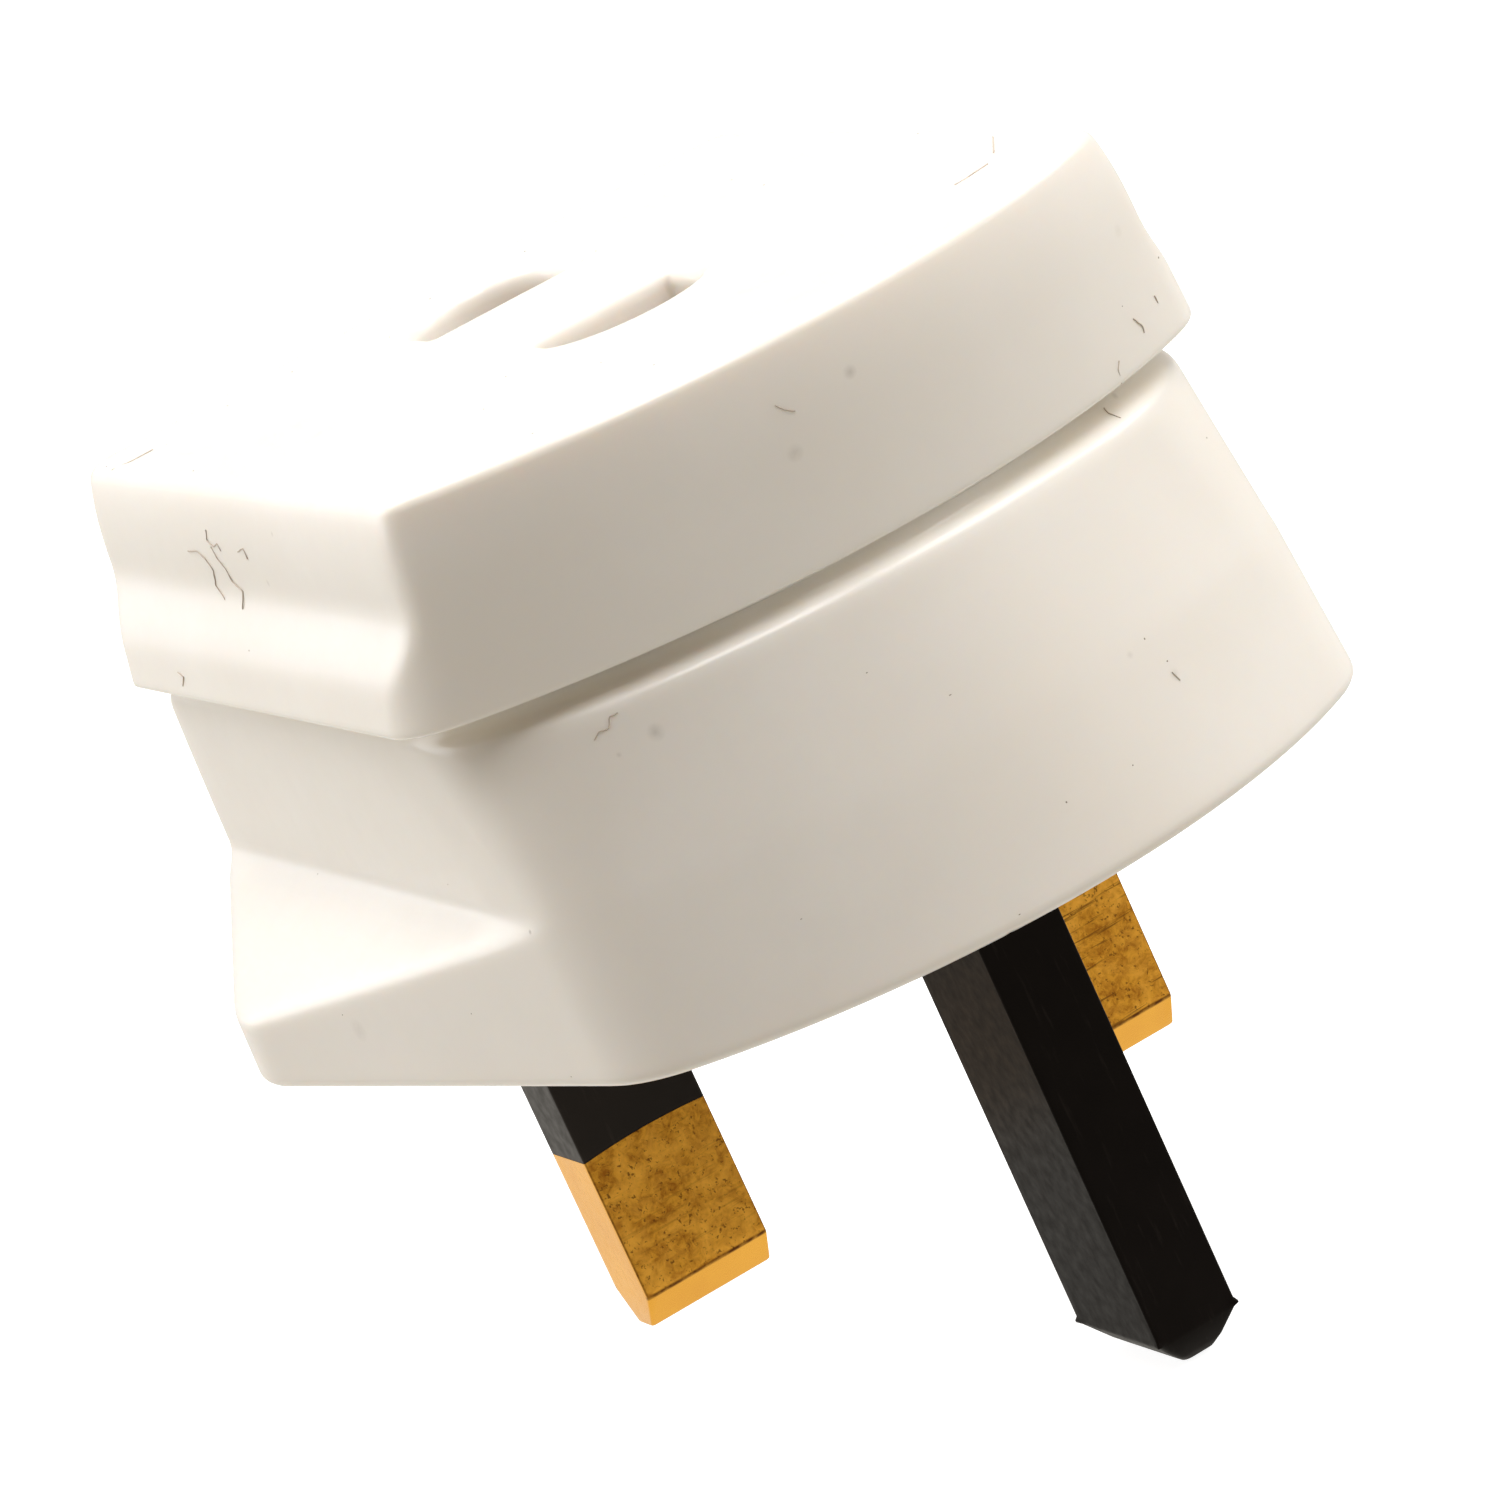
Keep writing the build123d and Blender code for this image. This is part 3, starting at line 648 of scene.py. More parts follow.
# Wedge at the end of a current pin: how much narrower than the pin, thickness and height of each level
PIN_WEDGE = ((0.2, 1.4, -17.7), (0.06, 1.54, -17.66), (0, 1.68, -17.58))
WEDGE_TOP_Z, SHANK_LOW_Z, SHANK_TOP_Z = -16.16, -8.5, 5.0
SLEEVE_TOP_Z, SLEEVE_FIT = 1.15, 0.02
# Tip of the earth pin: width, thickness, corner radius and height of each level
EARTH_TIP = ((1.3, 5.6, 0.3, -23.0), (1.6, 6.0, 0.35, -22.93), (2.35, 6.75, 0.3, -22.55),
             (3.3, 7.5, 0.22, -21.95), (3.85, 7.9, 0.15, -21.6))
EARTH_WIDTH, EARTH_THICK = 4.0, 8.0


def flange(section, width, thick, r):
    """Levels of a pin's flange on the base's floor, with eased edges"""
    ease, height = 0.1, 1.2
    large, small = section(width, thick, r), section(width - 2 * ease, thick - 2 * ease, r)
    return [(small, FLOOR_Z), (large, FLOOR_Z + ease), (large, FLOOR_Z + height - ease),
            (small, FLOOR_Z + height)]


def arch(points, x, sizes):
    """How far the sleeve's lower edge rises at each point of the pin's outline"""
    across = (points[:, 0] - x) / (sizes.width / MM / 2)
    wide = np.abs(points[:, 1]) > sizes.thickness / MM / 2 - 0.3
    return np.where(wide, sizes.sleeve_arch / MM * (1 - np.clip(across * across, 0, 1)), 0)


def make_current_pin(name, x, sizes):
    """Brass pin: full section at the end, slimmer shank through the sleeve, flange inside the base"""
    w, t, low = sizes.width / MM, sizes.thickness / MM, -sizes.sleeve_length / MM

    def section(width, thick, r=sizes.edge / MM):
        return box_ring(x, 0, width, thick, r, per_side=14)

    full, shank = section(w, t), section(*SHANK)
    levels = [(section(w - less, thick), z) for less, thick, z in PIN_WEDGE]
    levels += [(section(w, t - 0.1), WEDGE_TOP_Z), (full, WEDGE_TOP_Z + 0.14)]
    levels += [(full, z) for z in np.linspace(-15.6, low - 0.3, 12)]
    levels += [(full, low + arch(full, x, sizes) - 0.01), (shank, low)]
    levels += [(shank, z) for z in np.linspace(SHANK_LOW_Z, SUNK_Z, 5)]
    levels += flange(section, 8.4, 6.0, 0.3)
    levels += [(shank, FLOOR_Z + 1.22), (shank, SHANK_TOP_Z - 0.1), (section(5.15, 2.8), SHANK_TOP_Z)]
    s = Solid()
    s.column(levels)
    return weighted(s.finish(name, crease=40))


def make_sleeve(name, x, sizes):
    """Black sleeve, flush with the pin, its lower edge arched on the wide faces"""
    e, low = sizes.edge / MM, -sizes.sleeve_length / MM
    full = box_ring(x, 0, sizes.width / MM, sizes.thickness / MM, e, per_side=14)
    core = box_ring(x, 0, SHANK[0] + SLEEVE_FIT, SHANK[1] + SLEEVE_FIT, e, per_side=14)
    levels = [(core, low + 0.03), (full, low + arch(full, x, sizes) + 0.01)]
    levels += [(full, z) for z in np.linspace(low + 0.6, SLEEVE_TOP_Z - 0.05, 12)]
    levels += [(inset(full, 0.05), SLEEVE_TOP_Z), (core, SLEEVE_TOP_Z)]
    s = Solid()
    first, last = s.tower(levels)
    s.wall(last, first)
    return weighted(s.finish(name, crease=40))


def make_earth_pin(sizes):
    """Black moulded earth pin with a four-sided taper and flash at its corners"""
    def section(width, thick, r):
        return box_ring(0, EARTH_Y, width, thick, r, per_side=16)

    full = section(EARTH_WIDTH, EARTH_THICK, 0.12)
    out = full - np.array([0, EARTH_Y])
    corner = (np.abs(np.abs(out) - (EARTH_WIDTH / 2, EARTH_THICK / 2)) < 0.2).all(axis=1)
    out = out / np.linalg.norm(out, axis=1)[:, None]
    burr = full + out * (sizes.flash / MM * corner)[:, None]
    levels = [(section(width, thick, r), z) for width, thick, r, z in EARTH_TIP]
    levels += [(burr, -21.46), (burr, -21.38), (full, -21.2)]
    levels += [(full, z) for z in np.linspace(-20.5, 2.8, 24)]
    s = Solid()
    s.column(levels + [(full, FLOOR_Z)] + flange(section, 6.4, 10.4, 0.4))
    return weighted(s.finish("earth_pin_moulded", crease=40))


# Fuse, contacts and screw

CAP_LENGTH = 6.2
# Wall of a fuse cap from its closed end: radius and distance from that end
CAP_WALL = ((2.86, 5.88), (2.86, 0.06), (2.92, 0.0), (3.08, 0.0), (3.15, 0.08), (3.15, 0.75), (3.08, 0.9),
            (3.06, 1.05), (3.08, 1.2), (3.15, 1.35), (3.15, 5.85), (3.1, 6.05), (2.98, 6.17), (2.8, 6.2))
TUBE_WALL = ((2.7, -12.35), (2.83, -12.2), (2.83, 12.2), (2.7, 12.35))
# Core of the screw: radius and height above the pin face
SCREW_CORE = ((2.45, 0.5), (2.75, 0.56), (3.0, 0.72), (3.14, 0.98), (3.2, 1.3), (3.2, 2.28), (3.1, 2.4),
              (1.55, 2.4), (1.34, 2.65), (1.34, 17.4), (0.3, 19.95))
# Outline of the driver recess: a long slot with two short arms
RECESS = ((3.5, -0.5), (3.5, 0.5), (0.5, 0.5), (0.5, 1.8), (-0.5, 1.8), (-0.5, 0.5), (-3.5, 0.5),
          (-3.5, -0.5), (-0.5, -0.5), (-0.5, -1.8), (0.5, -1.8), (0.5, -0.5))


def turned(name, profile, centre, along_y=False):
    """Body turned about an axis from (radius, height) points, closed flat at both ends"""
    s = Solid()
    s.column([(circle_ring(0, 0, r), h) for r, h in profile])
    for v in s.bm.verts:
        x, y, z = v.co
        if along_y:
            y, z = z, y
        v.co = [c * MM + d for c, d in zip(centre, (x, y, z))]
    return s.finish(name, crease=35)


def make_fuse_cap(name, side):
    """Plated cup with a rounded closed end and a crimp near its open end"""
    start = side * (FUSE_LENGTH / 2 - CAP_LENGTH)
    profile = [(r, start + side * h) for r, h in CAP_WALL]
    return weighted(turned(name, profile, (FUSE_X, FUSE_Y, FUSE_Z), along_y=True))


def make_fuse_tube():
    return weighted(turned("fuse_body", TUBE_WALL, (FUSE_X, FUSE_Y, FUSE_Z), along_y=True))


def softened(node, name):
    """Copy of a pressed metal part with its sharp edges eased"""
    bm = bmesh.new()
    bm.from_mesh(bpy.data.objects[node].data)
    bmesh.ops.remove_doubles(bm, verts=bm.verts, dist=1e-6)
    bmesh.ops.dissolve_limit(bm, angle_limit=math.radians(1), verts=bm.verts, edges=bm.edges)
    obj = mesh_object(name, bm)
    mod = obj.modifiers.new("eased edges", "BEVEL")
    mod.width = 0.09 * MM
    mod.segments = 2
    mod.limit_method = "ANGLE"
    mod.angle_limit = math.radians(25)
    bake(obj)
    obj.data.shade_smooth()
    return weighted(obj)


class Nodes:
    """Small helper for a node tree: a socket given to an input is linked, a value is set"""

    def __init__(self, tree):
        self.tree = tree
        tree.nodes.clear()

    def link(self, a, b):
        self.tree.links.new(a, b)

    def put(self, node, inputs):
        for key, value in inputs.items():
            socket = node.inputs[key]
            if isinstance(value, bpy.types.NodeSocket):
                self.link(value, socket)
            elif socket.type == "RGBA":
                socket.default_value = (*value[:3], 1.0)
            else:
                socket.default_value = value

    def add(self, kind, inputs=None, **settings):
        node = self.tree.nodes.new(kind)
        for key, value in settings.items():
            setattr(node, key, value)
        self.put(node, inputs or {})
        return node

    def math(self, operation, *values):
        return self.add("ShaderNodeMath", dict(enumerate(values)), operation=operation).outputs[0]

    def times(self, a, b):
        return self.math("MULTIPLY", a, b)

    def span(self, value, a, b, c=0.0, d=1.0, shape="LINEAR"):
        """Value from a to b carried over to the range from c to d"""
        inputs = {"Value": value, "From Min": a, "From Max": b, "To Min": c, "To Max": d}
        return self.add("ShaderNodeMapRange", inputs, interpolation_type=shape).outputs["Result"]

    def mix(self, factor, a, b):
        """Colour between two colours"""
        return self.add("ShaderNodeMix", {0: factor, 6: a, 7: b}, data_type="RGBA").outputs[2]


class Rule(Nodes):
    """Geometry node tree with named inputs, baked into an object"""

    def __init__(self, name):
        super().__init__(bpy.data.node_groups.new(name, "GeometryNodeTree"))
        for way in ("INPUT", "OUTPUT"):
            self.tree.interface.new_socket(name="Geometry", in_out=way, socket_type="NodeSocketGeometry")
        self.start = self.add("NodeGroupInput")
        self.values = {}

    def input(self, name, value):
        kind = "NodeSocketInt" if isinstance(value, int) else "NodeSocketFloat"
        socket = self.tree.interface.new_socket(name=name, in_out="INPUT", socket_type=kind)
        self.values[socket.identifier] = value
        return self.start.outputs[name]

    def baked(self, obj, geometry, material):
        """Realize the instances, set the material, and bake the result into the object"""
        real = self.add("GeometryNodeRealizeInstances", {"Geometry": geometry})
        paint = self.add("GeometryNodeSetMaterial", {"Geometry": real.outputs[0], "Material": material})
        self.add("NodeGroupOutput", {"Geometry": paint.outputs[0]})
        mod = obj.modifiers.new(self.tree.name, "NODES")
        mod.node_group = self.tree
        for key, value in self.values.items():
            mod[key] = value
        return bake(obj)


def cut_recess(obj):
    """Cut the driver recess into the screw's head"""
    cut = Solid()
    cut.prism([(x, SOCKET_Y + y, 0.2) for x, y in RECESS],
              [(x * 0.97, SOCKET_Y + y * 0.94, 1.4) for x, y in RECESS])
    cutter = cut.finish("recess_cutter", crease=10)
    mod = obj.modifiers.new("recess", "BOOLEAN")
    mod.operation = "DIFFERENCE"
    mod.object = cutter
    mod.solver = "EXACT"
    bake(obj)
    bpy.data.objects.remove(cutter)


def make_screw(material):
    """Cover screw: turned core with a driver recess, and a thread that follows a spiral"""
    obj = turned("cover_screw_threaded", SCREW_CORE, (0, SOCKET_Y, 0))
    cut_recess(obj)
    rule = Rule("screw_thread")
    pitch = rule.input("Pitch", 1.27 * MM)
    core = rule.input("Core radius", 1.3 * MM)
    depth = rule.input("Thread depth", 0.44 * MM)
    start = rule.input("Start height", 4.2 * MM)
    reach = rule.input("Length", 13.2 * MM)
    thread = rule.add("GeometryNodeCurveSpiral", {
        "Resolution": 32, "Rotations": rule.math("DIVIDE", reach, pitch), "Start Radius": core,
        "End Radius": core, "Height": reach})
    point = rule.add("GeometryNodeCurveSpiral", {
        "Resolution": 32, "Rotations": 1.7, "Start Radius": core, "End Radius": 0.42 * MM,
        "Height": 2.1 * MM})
    ridge = rule.add("GeometryNodeCurvePrimitiveCircle", {"Resolution": 4, "Radius": depth})
    parts = rule.add("GeometryNodeJoinGeometry")
    for curve, z in ((thread, start), (point, rule.math("ADD", start, reach))):
        spot = rule.add("ShaderNodeCombineXYZ", {1: SOCKET_Y * MM, 2: z})
        moved = rule.add("GeometryNodeTransform", {
            "Geometry": curve.outputs["Curve"], "Translation": spot.outputs[0]})
        upright = rule.add("GeometryNodeSetCurveNormal", {"Curve": moved.outputs[0]})
        swept = rule.add("GeometryNodeCurveToMesh", {
            "Curve": upright.outputs[0], "Profile Curve": ridge.outputs["Curve"], "Fill Caps": True})
        rule.link(swept.outputs["Mesh"], parts.inputs[0])
    rule.link(rule.start.outputs[0], parts.inputs[0])
    return rule.baked(obj, parts.outputs[0], material)


# Wear

# Hairs and fine scratches, as pixels of the photograph
HAIRS = (
    ((188, 551), (197, 551), (205, 558), (213, 569), (216, 585), (225, 599)),
    ((206, 530), (207, 540), (214, 547), (217, 543), (221, 551)),
    ((211, 547), (218, 559), (226, 569), (233, 582), (243, 591), (243, 609)),
    ((238, 552), (243, 548), (248, 559)),
    ((955, 185), (967, 178), (988, 164)),
    ((994, 153), (993, 137)),
    ((1042, 129), (1051, 124), (1061, 119)),
    ((1069, 127), (1073, 122)),
    ((1119, 361), (1118, 370), (1121, 384)),
    ((1104, 408), (1109, 414), (1121, 418)),
    ((618, 713), (609, 717), (609, 729), (599, 732), (594, 740)),
    ((775, 405), (782, 409), (795, 411)),
    ((112, 470), (130, 462), (153, 450)),
    ((1133, 319), (1142, 326), (1144, 333)),
    ((1154, 296), (1158, 303)),
    ((178, 672), (184, 677), (183, 686)),
    ((1172, 672), (1180, 680)),
)
# Smudges, as pixels of the photograph, radius in millimetres and strength
SMUDGES = (
    (850, 372, 0.34, 1.0), (795, 453, 0.42, 0.8), (656, 732, 0.42, 1.0), (359, 1030, 0.6, 0.55),
    (530, 932, 0.13, 2.6), (1175, 675, 0.3, 0.6), (1130, 655, 0.2, 0.6), (619, 755, 0.14, 1.0),
    (272, 534, 0.16, 1.0), (268, 583, 0.2, 1.0), (1115, 396, 0.2, 1.2), (1118, 231, 0.35, 0.4),
)


def make_hairs(wear, material):
    """Lint hairs that lie on the shells where the photograph shows them"""
    tree = shell_tree()
    verts, edges = [], []
    for line in HAIRS:
        spots = [place + normal * wear.hair_radius * 0.5 for place, normal in shell_hits(tree, line)]
        edges += [(i, i + 1) for i in range(len(verts), len(verts) + len(spots) - 1)]
        verts += spots
    mesh = bpy.data.meshes.new("lint_hairs")
    mesh.from_pydata(verts, edges, [])
    rule = Rule("hair_strands")
    radius = rule.input("Hair radius", wear.hair_radius)
    curl = rule.input("Curl", wear.hair_curl)
    curve = rule.add("GeometryNodeMeshToCurve", {"Mesh": rule.start.outputs[0]})
    fine = rule.add("GeometryNodeResampleCurve", {"Curve": curve.outputs[0], "Length": 0.12 * MM},
                    mode="LENGTH")
    noise = rule.add("ShaderNodeTexNoise", {"Scale": 2600.0})
    centred = rule.add("ShaderNodeVectorMath", {0: noise.outputs["Color"], 1: (0.5, 0.5, 0.5)},
                       operation="SUBTRACT")
    stray = rule.add("ShaderNodeVectorMath", {0: centred.outputs[0], "Scale": curl}, operation="SCALE")
    moved = rule.add("GeometryNodeSetPosition", {"Geometry": fine.outputs[0], "Offset": stray.outputs[0]})
    ring = rule.add("GeometryNodeCurvePrimitiveCircle", {"Resolution": 6, "Radius": radius})
    strand = rule.add("GeometryNodeCurveToMesh", {
        "Curve": moved.outputs[0], "Profile Curve": ring.outputs["Curve"], "Fill Caps": True})
    return rule.baked(linked("lint_hairs", mesh), strand.outputs["Mesh"], material)


def gathers_dust(f):
    """True for faces on the outside of the shells that gather dust"""
    c = f.calc_center_median()
    if f.normal.z > 0.7:
        return c.z > cad_high[2] - 0.2 * MM
    out = c.x * f.normal.x + (c.y + 10 * MM) * f.normal.y
    in_joint = 15.4 * MM < c.z < 16.6 * MM
    return out > 4 * MM and c.z > 0.5 * MM and abs(f.normal.z) < 0.7 and not in_joint


def make_specks(wear, material):
    """Dust specks scattered over the upward and outer faces of the shells"""
    bm = bmesh.new()
    for name in ("base_shell", "cover_shell"):
        bm.from_mesh(bpy.data.objects[name].data)
    bmesh.ops.delete(bm, geom=[f for f in bm.faces if not gathers_dust(f)], context="FACES")
    rule = Rule("dust_scatter")
    density = rule.input("Density", wear.speck_density)
    size = rule.input("Speck size", wear.speck_size)
    seed = rule.input("Seed", wear.seed)
    spread = rule.add("GeometryNodeDistributePointsOnFaces", {
        "Mesh": rule.start.outputs[0], "Density": density, "Seed": seed})
    grain = rule.add("GeometryNodeMeshIcoSphere", {"Subdivisions": 2, "Radius": size})
    scale = rule.add("FunctionNodeRandomValue", {
        "Min": (0.45, 0.45, 0.3), "Max": (1.6, 1.2, 0.5), "Seed": seed}, data_type="FLOAT_VECTOR")
    placed = rule.add("GeometryNodeInstanceOnPoints", {
        "Points": spread.outputs["Points"], "Instance": grain.outputs["Mesh"],
        "Rotation": spread.outputs["Rotation"], "Scale": scale.outputs["Value"]})
    return rule.baked(mesh_object("dust_specks", bm), placed.outputs[0], material)


def add_smudges(mat, wear):
    """Soft smudges on the shells at the photograph's places"""
    p = Paint.reopened(mat)
    colour = p.shader.inputs["Base Color"].links[0].from_socket
    wobble = p.noise(2300, 3, 0.6)
    tree = shell_tree()
    for px, py, radius, strength in SMUDGES:
        for place, _ in shell_hits(tree, [(px, py)]):
            spot = p.times(p.near(place, radius * MM, 0.9), wear.mark_strength * strength)
            uneven = p.times(spot, p.span(wobble, 0.3, 0.6, 0.5, 1.0))
            colour = p.mix(uneven, colour, (0.30, 0.255, 0.20))
    p.surface({"Base Color": colour})


# Materials

class Paint(Nodes):
    """Small helper for a material built round one principled shader"""

    def __init__(self, name):
        self.mat = bpy.data.materials.new(name)
        self.mat.use_nodes = True
        super().__init__(self.mat.node_tree)
        self.shader = self.add("ShaderNodeBsdfPrincipled")
        self.out = self.add("ShaderNodeOutputMaterial", {"Surface": self.shader.outputs["BSDF"]})
        self.coords = self.add("ShaderNodeTexCoord").outputs["Object"]

    @classmethod
    def reopened(cls, mat):
        """The helper on a material that was built before"""
        p = cls.__new__(cls)
        p.mat, p.tree = mat, mat.node_tree
        p.shader = p.tree.nodes["Principled BSDF"]
        p.coords = p.tree.nodes["Texture Coordinate"].outputs["Object"]
        return p

    def surface(self, inputs):
        self.put(self.shader, inputs)

    def noise(self, scale, detail=4.0, rough=0.55, distortion=0.0, stretch=None):
        place = self.coords
        if stretch:
            place = self.add("ShaderNodeMapping", {"Vector": place, "Scale": stretch}).outputs["Vector"]
        return self.add("ShaderNodeTexNoise", {
            "Vector": place, "Scale": scale, "Detail": detail, "Roughness": rough,
            "Distortion": distortion}).outputs["Fac"]

    def split(self):
        """The three coordinates, in metres"""
        return self.add("ShaderNodeSeparateXYZ", {0: self.coords}).outputs

    def near(self, point, radius, soft):
        """One inside a spot about a point, nought outside, in metres"""
        d = self.add("ShaderNodeVectorMath", {0: self.coords, 1: point}, operation="DISTANCE")
        return self.span(d.outputs["Value"], radius, radius * (1 - soft))

    def bump(self, height, strength, distance):
        n = self.add("ShaderNodeBump", {"Height": height, "Strength": strength, "Distance": distance})
        self.surface({"Normal": n.outputs["Normal"]})


def moulded_white(finish):
    """Ivory thermoset: satin, a little translucent, with faint flow marks, and in the joint a darker
    yellowish tint that is partly grime and partly painted shade
    """
    p = Paint("moulded_white")
    z = p.split()["Z"]
    colour = p.mix(p.span(p.noise(55, 3, 0.5), 0.35, 0.7), finish.body_colour, finish.body_shade)
    cloud = p.span(p.noise(420, 4, 0.6), 0.45, 0.75, 0.0, 0.35)
    colour = p.mix(cloud, colour, [c * 0.95 for c in finish.body_colour])
    # Painted shade in the joint groove: a darker, yellower tint under the cover's rim, partly grime and
    # partly the shade that falls there
    in_joint = p.times(p.span(z, 0.0151, 0.0156), p.span(z, 0.0164, 0.0163))
    joint_grime_and_shade = p.times(in_joint, p.span(p.noise(700), 0.3, 0.7, 0.15, 0.4))
    p.surface({
        "Base Color": p.mix(joint_grime_and_shade, colour, (0.80, 0.72, 0.55)),
        "Roughness": p.span(p.noise(900, 5, 0.6), 0.3, 0.7, 0.3, 0.42),
        "Coat Weight": 0.6, "Coat Roughness": 0.16, "IOR": 1.47,
        "Subsurface Weight": 0.5, "Subsurface Radius": (1.0, 0.8, 0.6), "Subsurface Scale": 0.0012})
    p.bump(p.math("ADD", p.noise(3800, 3, 0.5), p.times(p.noise(160, 2), 2.0)), 0.1, 0.00003)
    return p.mat


def brass(finish):
    """Brass pins: mottled patina on the wide faces, clean narrow faces and tips, dark lines at the edges"""
    p = Paint("pin_brass")
    x, y, z = p.split()
    ax = p.math("ABSOLUTE", p.math("SUBTRACT", p.math("ABSOLUTE", x), NEUTRAL_X * MM))
    ay = p.math("ABSOLUTE", y)
    wide = p.times(p.span(ay, 0.00188, 0.00196), p.span(z, -0.01612, -0.01604))
    mottle = p.noise(2100, 6, 0.72, 0.6)
    patina = p.mix(p.span(mottle, 0.36, 0.60), finish.patina_colour, finish.ochre_colour)
    patina = p.mix(p.span(p.noise(620, 4, 0.6, 0.8), 0.40, 0.66, 0.0, 0.75), patina, finish.brass_colour)
    patina = p.mix(p.span(p.noise(5200, 3, 0.6), 0.60, 0.68, 0.0, 0.8), patina, (0.13, 0.05, 0.008))
    lines = p.span(p.noise(1, 3, 0.6, stretch=(260, 260, 5200)), 0.60, 0.66)
    patina = p.mix(p.times(lines, p.span(x, -0.002, 0.002, 0.25, 0.8)), patina, (0.20, 0.085, 0.012))
    clean = p.mix(p.span(p.noise(300, 3), 0.35, 0.7), finish.brass_colour, (0.86, 0.42, 0.06))
    edge = p.math("MAXIMUM", p.math("SUBTRACT", 0.003175, ax), p.math("SUBTRACT", 0.002, ay))
    side_line = p.times(p.span(edge, 0.00011, 0.00003), p.span(z, -0.01615, -0.01605))
    tip_line = p.times(p.span(p.math("ABSOLUTE", p.math("ADD", z, 0.01607)), 0.00013, 0.00004),
                       p.span(ay, 0.0017, 0.0019))
    rub = p.span(p.noise(1500, 3), 0.3, 0.6, 0.45, 1.0)
    dark = p.times(p.math("MAXIMUM", side_line, tip_line), rub)
    rough = p.span(p.noise(2600, 4, 0.6), 0.3, 0.7, 0.2, 0.32)
    p.surface({"Base Color": p.mix(dark, p.mix(wide, clean, patina), (0.11, 0.035, 0.006)),
               "Roughness": p.math("ADD", rough, p.times(wide, 0.2)), "Metallic": 1.0})
    p.bump(p.math("ADD", p.times(mottle, wide), p.times(p.noise(5200, 4, 0.6), 0.25)), 0.3, 0.00004)
    return p.mat


def black_plastic(finish, name, gloss):
    """Black insulation with fine rubbed lines along the pins"""
    p = Paint(name)
    lines = p.noise(1, 3, 0.6, stretch=(3800, 3800, 420))
    base = p.mix(p.noise(500), finish.insulation_colour, (0.008, 0.0062, 0.0055))
    p.surface({"Base Color": p.mix(p.span(lines, 0.6, 0.75, 0.0, 0.5), base, (0.02, 0.016, 0.014)),
               "Roughness": p.span(p.noise(1500), 0.3, 0.7, 0.34, 0.5),
               "Specular IOR Level": gloss, "Specular Tint": (1.0, 0.86, 0.74)})
    p.bump(p.math("ADD", p.noise(4200, 3), p.times(lines, 0.4)), 0.06, 0.00001)
    return p.mat


def plain_metal(name, colour, shade, rough, grain, stretch=None):
    """Bare metal with a brushed grain, faint stains and brighter rubbed spots"""
    p = Paint(name)
    marks = p.noise(1 if stretch else grain, 5, 0.65, stretch=stretch)
    stain = p.span(p.noise(240, 4, 0.6, 0.5), 0.55, 0.75, 0.0, 0.5)
    base = p.mix(p.span(marks, 0.35, 0.65), colour, shade)
    p.surface({"Base Color": p.mix(stain, base, [c * 0.6 for c in shade]),
               "Roughness": p.span(marks, 0.3, 0.7, rough, rough + 0.16), "Metallic": 1.0})
    p.bump(marks, 0.15, 0.00002)
    return p.mat


def ceramic():
    """Unglazed cream fuse tube with fine pores"""
    p = Paint("fuse_ceramic")
    pores = p.noise(2600, 4, 0.6)
    stained = p.span(pores, 0.55, 0.7, 0.0, 0.6)
    p.surface({"Base Color": p.mix(stained, (0.80, 0.75, 0.66), (0.58, 0.52, 0.44)),
               "Roughness": p.span(pores, 0.3, 0.7, 0.5, 0.68)})
    p.bump(pores, 0.25, 0.00003)
    return p.mat


def lint(name, colour, other):
    """Matt fibre or dust, uneven in tone"""
    p = Paint(name)
    p.surface({"Base Color": p.mix(p.noise(900, 3), colour, other),
               "Roughness": p.span(p.noise(2500, 2), 0.3, 0.7, 0.7, 0.9)})
    p.bump(p.noise(9000, 2), 0.2, 0.00001)
    return p.mat


# Stage

# Half the floor's side and the stretch in y over which its light changes, in metres, and that light's colour
FLOOR_HALF, FLOOR_FADE, FLOOR_BOUNCE = 3.0, (-0.075, 0.03), (1.0, 0.955, 0.87)
# Direction of the tent's dimmer wall, at the far right
TENT_BACK = (0.66, 0.75, 0.1)
# Softboxes: name, place, width and height of the aim in metres, the setting of their power and its share
SOFTBOXES = (
    ("top_softbox", (-0.02, -0.17, 0.35), 0.15, 0.015, "top_light", 0.4),
    ("high_right_softbox", (0.17, -0.11, 0.28), 0.15, 0.015, "top_light", 0.35),
    ("low_right_softbox", (0.33, -0.05, 0.19), 0.15, 0.015, "top_light", 0.27),
    ("left_softbox", (-0.27, 0.34, 0.15), 0.25, 0.012, "left_light", 1.0),
    ("rear_softbox", (-0.12, 0.16, 0.40), 0.3, 0.02, "rear_light", 1.0),
)


def seen_or_lit(nodes, seen, lit):
    """One shader for what the picture shows and another for the light that is thrown"""
    direct = nodes.add("ShaderNodeLightPath").outputs["Is Camera Ray"]
    return nodes.add("ShaderNodeMixShader", {0: direct, 1: lit.outputs[0], 2: seen.outputs[0]}).outputs[0]


def pale_floor(st):
    """White floor that throws a warmer, dimmer light back at the plug"""
    p = Paint("pale_floor")
    p.surface({"Base Color": (0.5, 0.5, 0.5), "Roughness": 0.9, "Specular IOR Level": 0.1,
               "Emission Color": (1, 1, 1), "Emission Strength": st.floor_white})
    strength = p.span(p.split()["Y"], *FLOOR_FADE, st.floor_front, st.floor_back, "SMOOTHSTEP")
    bounce = p.add("ShaderNodeEmission", {"Color": FLOOR_BOUNCE, "Strength": strength})
    p.put(p.out, {"Surface": seen_or_lit(p, p.shader, bounce)})
    return p.mat


